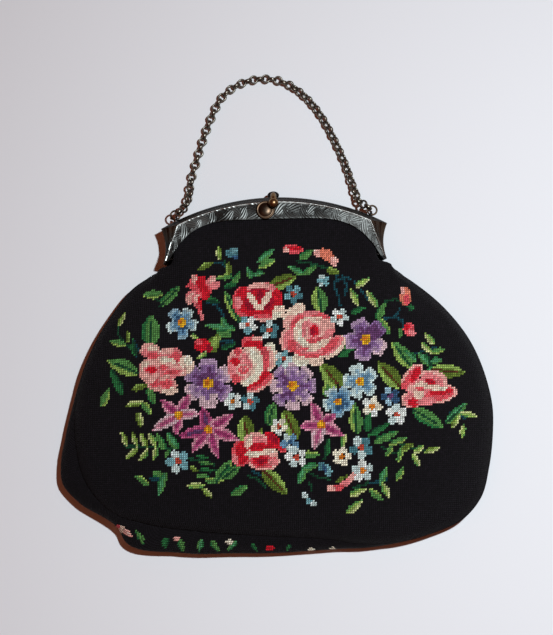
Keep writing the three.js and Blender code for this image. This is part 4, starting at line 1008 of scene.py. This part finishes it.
front_frame = frame_half("engraved_frame", engraved=True)
give_thickness(front_frame, inside_out=True)
finish_metal(front_frame, "front_frame", old_silver, angle=60)


# Back half of the frame
# It mirrors the front half, with a plain face. Two small ears stand on its top wall and carry the chain's
# rings, each a ring of wire on a short stem that is sunk into the wall.
EAR_RADIUS = 1.35
EAR_WIRE = 0.9
EAR_INSET = 0.85
EAR_STEM = 0.54
STEM_SUNK = 2
RING_RADIUS = 2.2
ear_z = FRAME_LIFT - (EAR_WIRE / 2 + EAR_RADIUS + EAR_INSET)


def joined(name, *pieces):
    bpy.ops.object.select_all(action="DESELECT")
    for piece in pieces:
        piece.select_set(True)
    bpy.context.view_layer.objects.active = pieces[0]
    bpy.ops.object.join()
    pieces[0].name = name
    return pieces[0]


def stood(centre, axis):
    """Where a thing made along Z goes, to stand at a point along an axis."""
    turn = Vector((0, 0, 1)).rotation_difference(Vector(axis)).to_matrix().to_4x4()
    return Matrix.Translation(Vector(centre) * MILLIMETRE) @ turn


def wire_ring(name, radius, wire, centre, axis, around=48, section=12, band=1):
    """Ring of round wire, or of a band that many times as wide along its axis as it is thick."""
    bpy.ops.mesh.primitive_torus_add(
        major_segments=around, minor_segments=section, major_radius=radius * MILLIMETRE,
        minor_radius=wire / 2 * MILLIMETRE,
    )
    ring = bpy.context.object
    ring.name = name
    ring.data.transform(stood(centre, axis) @ Matrix.Diagonal((1, 1, band, 1)))
    return ring


def ear_centre(side, above):
    rim = arch(np.array(face_half), 0)
    normal = np.array([face_half, arch_radius - FRAME_RISE + rim[1]])
    rim = rim + normal / np.linalg.norm(normal) * above
    return Vector((rim[0] * side + frame_x, rim[1] + frame_y, ear_z))


def turned(name, profile, centre, axis, sides=48):
    """Solid of revolution from a profile of radius and height, standing on a point."""
    outline = bpy.data.meshes.new(name)
    points = [(r * MILLIMETRE, 0, h * MILLIMETRE) for r, h in profile]
    outline.from_pydata(points, [(i, i + 1) for i in range(len(points) - 1)], [])
    piece = add_object(name, outline)
    apply_modifier(
        piece, "SCREW", axis="Z", steps=sides, render_steps=sides, use_merge_vertices=True, merge_threshold=WELD
    )
    edit_all(piece)
    bpy.ops.mesh.remove_doubles(threshold=WELD)
    bpy.ops.mesh.normals_make_consistent(inside=False)
    bpy.ops.object.mode_set(mode="OBJECT")
    piece.data.transform(stood(centre, axis))
    return piece


back_frame = frame_half("plain_frame", engraved=False)
give_thickness(back_frame, inside_out=False)
ears = []
for side in (-1, 1):
    centre, base, foot = (ear_centre(side, above) for above in (EAR_WIRE, 0, -STEM_SUNK))
    axis = Vector((centre.y - base.y, base.x - centre.x, 0))
    ears.append(wire_ring("ear", EAR_RADIUS, EAR_WIRE, centre, axis, around=32))
    stem = ear_centre(side, EAR_WIRE - EAR_RADIUS) - foot
    post = [(0, 0), (EAR_STEM, 0), (EAR_STEM, stem.length), (0, stem.length)]
    ears.append(turned("stem", post, foot, stem, 24))
back_frame = joined("plain_frame", back_frame, *ears)
finish_metal(back_frame, "back_frame", old_silver)


# Hinge pins
# A headed silver pin at each tip passes through both halves. They are hidden inside the frame.
for side in ("left", "right"):
    pin = merged_copy("hinge_pin_" + side, "hinge_rivet_" + side)
    finish_metal(pin, "hinge_pin_" + side, old_silver)


# Clasp
# A brass ball on a bent arm stands on the front half and snaps past an oval silver knob on the back half. A
# domed brass boss covers the rivet on the face.
BALL_RADIUS = 2.35
KNOB_WIDTH = 5.6
KNOB_HEIGHT = 3.8
BOSS_RADIUS = 4.4
BALL_SEAT_SHARE = 0.55
KNOB_SEAT_SHARE = 0.4
ARM_SUNK = 0.9
ARM_RADII = [1.5, 1.3, 1.1, 1.2, 1.4]
# Profiles of radius and height: the shank of a rivet through the sheet, and the collar above it
SHANK = [(0, -2.1), (1.5, -2.1), (1.5, -1.3), (0.7, -1.3), (0.7, 0.3)]
COLLAR = [(1.5, 0.3), (1.6, 0.7), (1.5, 1.2), (0, 1.2)]
# The boss as shares of its radius, and height
BOSS_STEPS = [
    (1, 0.3), (1, 0.6), (0.97, 0.85), (0.92, 1.0), (0.86, 0.98), (0.8, 0.88), (0.72, 1.0), (0.6, 1.25),
    (0.4, 1.46), (0.2, 1.57), (0, 1.6),
]


def round_head(radius, centre, stretch=1):
    bpy.ops.mesh.primitive_uv_sphere_add(
        segments=40, ring_count=24, radius=radius * MILLIMETRE, location=centre * MILLIMETRE
    )
    head = bpy.context.object
    head.scale.x = stretch
    bpy.ops.object.transform_apply(location=True, scale=True)
    return head


def wall_seat(share, facing):
    """Point on the middle of a half's top wall, at a share of the wall's slope down from its rim."""
    height = FRAME_LIFT + facing * HALF_DEPTH * share
    return Vector((frame_x, frame_y + FRAME_RISE - RIM_SLOPE * share, height))


worn_brass = old_metal("worn brass", (0.09, 0.05, 0.03), (0.6, 0.4, 0.2), (0.16, 0.07, 0.03), 260, 0.45, 0.5)
dark_brass = old_metal("dark brass", (0.03, 0.022, 0.017), (0.3, 0.2, 0.11), (0.07, 0.035, 0.02), 260, 0.08, 0.4)
ball_low, ball_high = box_of("clasp_ball")
ball_centre = Vector(((ball_low.x + ball_high.x) / 2, ball_low.y + BALL_RADIUS, ball_high.z - BALL_RADIUS))
ball = round_head(BALL_RADIUS, ball_centre)
wall_normal = Vector((0, HALF_DEPTH, RIM_SLOPE)).normalized()
ball_seat = wall_seat(BALL_SEAT_SHARE, 1)


def tube(name, ends, radii, sides=20, steps=24):
    """Round arm along a cubic curve, as thick as its radii say from end to end."""
    a, b, c, d = ends
    rings = []
    for t in np.linspace(0, 1, steps):
        s = 1 - t
        point = a * s**3 + b * 3 * s * s * t + c * 3 * s * t * t + d * t**3
        ahead = ((b - a) * s * s + (c - b) * 2 * s * t + (d - c) * t * t).normalized()
        aside = Vector((1, 0, 0))
        other = ahead.cross(aside).normalized()
        radius = np.interp(t, np.linspace(0, 1, len(radii)), radii)
        turns = np.linspace(0, math.tau, sides + 1)
        rings.append([point + (aside * math.cos(u) + other * math.sin(u)) * radius for u in turns])
    piece = sheet_of(name, np.array(rings))
    edit_all(piece)
    bpy.ops.mesh.remove_doubles(threshold=WELD)
    bpy.ops.mesh.fill_holes(sides=0)
    bpy.ops.mesh.normals_make_consistent(inside=False)
    bpy.ops.object.mode_set(mode="OBJECT")
    return piece


arm_start = ball_seat + wall_normal * ARM_SUNK
arm_rise = arm_start + wall_normal * BALL_RADIUS
arm_bend = Vector((frame_x, frame_y + FRAME_RISE - RIM_SLOPE + BALL_RADIUS, ball_centre.z))
arm = tube("arm", [arm_start, arm_rise, arm_bend, ball_centre], ARM_RADII)
collar = turned("collar", SHANK + COLLAR, ball_seat, wall_normal, 32)
clasp_ball = joined("brass_ball", ball, arm, collar)
finish_metal(clasp_ball, "clasp_ball", worn_brass)

knob_normal = Vector((0, wall_normal.y, -wall_normal.z))
knob_seat = wall_seat(KNOB_SEAT_SHARE, -1)
knob_neck = RIM_SLOPE * KNOB_SEAT_SHARE + 0.3
knob_centre = knob_seat + knob_normal * (knob_neck + KNOB_HEIGHT / 2)
knob_head = round_head(KNOB_HEIGHT / 2, knob_centre, KNOB_WIDTH / KNOB_HEIGHT)
knob_post = [(1.5, 0.3), (1.2, 0.9), (1.05, knob_neck + 1), (0, knob_neck + 1)]
post = turned("post", SHANK + knob_post, knob_seat, knob_normal, 32)
clasp_knob = joined("oval_knob", knob_head, post)
finish_metal(clasp_knob, "clasp_knob", old_silver)

boss_middle = sum(box_of("clasp_boss"), Vector()) / 2
boss_seat = Vector((boss_middle.x, boss_middle.y, FRAME_LIFT + HALF_DEPTH))
boss_profile = SHANK + [(BOSS_RADIUS * share, height) for share, height in BOSS_STEPS]
clasp_boss = turned("brass_boss", boss_profile, boss_seat, (0, 0, 1), 64)
finish_metal(clasp_boss, "clasp_boss", dark_brass)


# Jump rings
# A plain brass ring through each ear carries the end of the chain.
for name in ("jump_ring_left", "jump_ring_right"):
    low, high = box_of(name)
    ring = wire_ring(name.replace("jump", "brass"), RING_RADIUS, EAR_WIRE, (low + high) / 2, (0, 0, 1))
    finish_metal(ring, name, dark_brass, 80)


# Chain
# Round links of dark wire, each turned a quarter from the last, laid out in a loop behind the frame.
LINK_PITCH = 3
LINK_WIRE = 0.75
DRAWN_WIRE = 0.95
LINK_BAND = 1.5
LINK_BITE = 0.24
FIT = 0.3
# The chain's direction at a link is read this far to both sides of it
NEAR = 0.2
# Where it was laid: x and y from the frame's middle, and how far it is raised above a chain that lies flat
CHAIN_ROUTE = [
    (-43.2, 10.0, 5.0), (-40.6, 15.6, 2.7), (-39.2, 25.0, 0.5), (-36.4, 34.5, 0), (-33.2, 44.5, 0),
    (-28.9, 55.6, 0), (-23.4, 65.8, 0), (-15.2, 71.9, 0), (-5.0, 74.4, 0), (5.0, 73.1, 0), (14.2, 67.4, -0.2),
    (22.8, 57.4, -0.35), (30.2, 43.2, -0.35), (35.2, 30.6, -0.35), (38.4, 20.0, 1.0), (41.2, 11.8, 3.8),
]
# How far the links have rolled over about the chain's line, in degrees, at shares of its length
CHAIN_ROLL = [(0, 0), (0.04, 45), (0.08, 45), (0.15, 0), (0.5, 0), (0.6, 45), (0.95, 45), (1, 0)]


def smooth_route(points, steps=60):
    """Centripetal curve through the points, as a fine line."""
    points = np.array(points, float)
    points = np.vstack([2 * points[0] - points[1], points, 2 * points[-1] - points[-2]])
    line = []
    for a, b, c, d in zip(points, points[1:], points[2:], points[3:]):
        k = [0.0]
        for p, q in ((a, b), (b, c), (c, d)):
            k.append(k[-1] + np.linalg.norm(q - p) ** 0.5)
        for t in np.linspace(k[1], k[2], steps, endpoint=False):
            ab = a + (b - a) * (t - k[0]) / (k[1] - k[0])
            bc = b + (c - b) * (t - k[1]) / (k[2] - k[1])
            cd = c + (d - c) * (t - k[2]) / (k[3] - k[2])
            abc = ab + (bc - ab) * (t - k[0]) / (k[2] - k[0])
            bcd = bc + (cd - bc) * (t - k[1]) / (k[3] - k[1])
            line.append(abc + (bcd - abc) * (t - k[1]) / (k[2] - k[1]))
    return np.array([*line, points[-2]])


lying = LINK_PITCH / 2 - LINK_BITE / 2 + LINK_WIRE + LINK_WIRE / 4
route = [np.array((x + frame_x, y + frame_y, lying + raised)) for x, y, raised in CHAIN_ROUTE]


def reach_to(ring, link):
    level = np.array([link[0] - ring[0], link[1] - ring[1], 0])
    return ring + level / np.linalg.norm(level) * (RING_RADIUS + FIT)


first = reach_to(np.array(ear_centre(-1, EAR_WIRE + RING_RADIUS)), route[0])
last = reach_to(np.array(ear_centre(1, EAR_WIRE + RING_RADIUS)), route[-1])
line = smooth_route([first, *route, last])
so_far = length_so_far(line)
count = 2 * round(so_far[-1] / LINK_PITCH / 2)
link_radius = (so_far[-1] / count - LINK_BITE) / 2 + LINK_WIRE / 2


def along_route(distance):
    return Vector([np.interp(distance, so_far, line[:, a]) for a in range(3)])


chain_metal = old_metal(
    "chain metal", (0.05, 0.045, 0.035), (0.42, 0.4, 0.34), (0.09, 0.05, 0.03), 300, wear_and_highlight=0.4, tarnished=0.4
)
links = []
for i in range(count + 1):
    here = so_far[-1] * i / count
    behind, beyond = (along_route(at) for at in (max(here - NEAR, 0), min(here + NEAR, so_far[-1])))
    ahead = (beyond - behind).normalized()
    level = Vector((0, 0, 1)).cross(ahead).normalized()
    rolled = Matrix.Rotation(math.radians(np.interp(i / count, *zip(*CHAIN_ROLL))), 3, ahead)
    axis = rolled @ (ahead.cross(level) if i % 2 else level)
    band = LINK_BAND / DRAWN_WIRE
    links.append(wire_ring("link", link_radius, DRAWN_WIRE, along_route(here), axis, 32, 12, band))
chain = joined("link_chain", *links)
finish_metal(chain, "chain", chain_metal, 80)


# Floor, light and camera
# A pale sheet, lit by one small white lamp at the right in a dim room with warm light, so that shadows fall
# narrow and brown to the left. The camera looks down at the photograph's slant.
FLOOR_SIZE = 6
FLOOR_COLOUR = (0.78, 0.78, 0.8, 1)
FLOOR_DROP = 0.0002
ROOM_COLOUR = (1, 0.24, 0.1, 1)
ROOM_STRENGTH = 0.11
SENSOR_HEIGHT = 36
AIM = Vector((0.001168, -0.00554, 0.012))
FOCAL_PIXELS = 1702.1
IMAGE_HEIGHT = 635

bpy.ops.mesh.primitive_plane_add(size=FLOOR_SIZE, location=(0, 0, -FLOOR_DROP))
floor = bpy.context.object
floor.name = "pale_sheet"
sheet = bpy.data.materials.new("pale sheet")
sheet.use_nodes = True
cotton = sheet.node_tree.nodes["Principled BSDF"].inputs
cotton["Base Color"].default_value = FLOOR_COLOUR
cotton["Roughness"].default_value = 0.9
floor.data.materials.append(sheet)

world = bpy.data.worlds.new("room")
bpy.context.scene.world = world
world.use_nodes = True
room = world.node_tree.nodes["Background"].inputs
room["Color"].default_value = ROOM_COLOUR
room["Strength"].default_value = ROOM_STRENGTH


def lamp(name, place, aim, size, power, colour):
    light = bpy.data.lights.new(name, "AREA")
    light.size = size
    light.energy = power
    light.color = colour
    lamp = add_object(name, light)
    lamp.location = place
    lamp.rotation_euler = (Vector(aim) - Vector(place)).to_track_quat("-Z", "Y").to_euler()


lamp("flash", (0.22, 0.08, 0.78), (0.36, -0.36, 0), 0.03, 7.9, (0.85, 0.95, 1))
lamp("ceiling", (-0.25, -0.25, 1.0), (-0.1, -0.1, 0), 0.5, 0.32, (1, 0.42, 0.26))

forward = Vector((0, math.cos(VIEW_TILT), -math.sin(VIEW_TILT)))
right = Vector((1, 0, 0))
up = right.cross(forward)
image_right = right * math.cos(VIEW_TURN) - up * math.sin(VIEW_TURN)
image_up = right * math.sin(VIEW_TURN) + up * math.cos(VIEW_TURN)
lens = bpy.data.cameras.new("camera")
lens.sensor_fit = "VERTICAL"
lens.sensor_height = SENSOR_HEIGHT
lens.lens = SENSOR_HEIGHT * FOCAL_PIXELS / IMAGE_HEIGHT
camera = add_object("camera", lens)
turn = Matrix([image_right, image_up, -forward]).transposed()
camera.matrix_world = Matrix.Translation(AIM - forward * VIEW_DISTANCE * MILLIMETRE) @ turn.to_4x4()
bpy.context.scene.camera = camera
bpy.context.scene.view_settings.view_transform = "Standard"
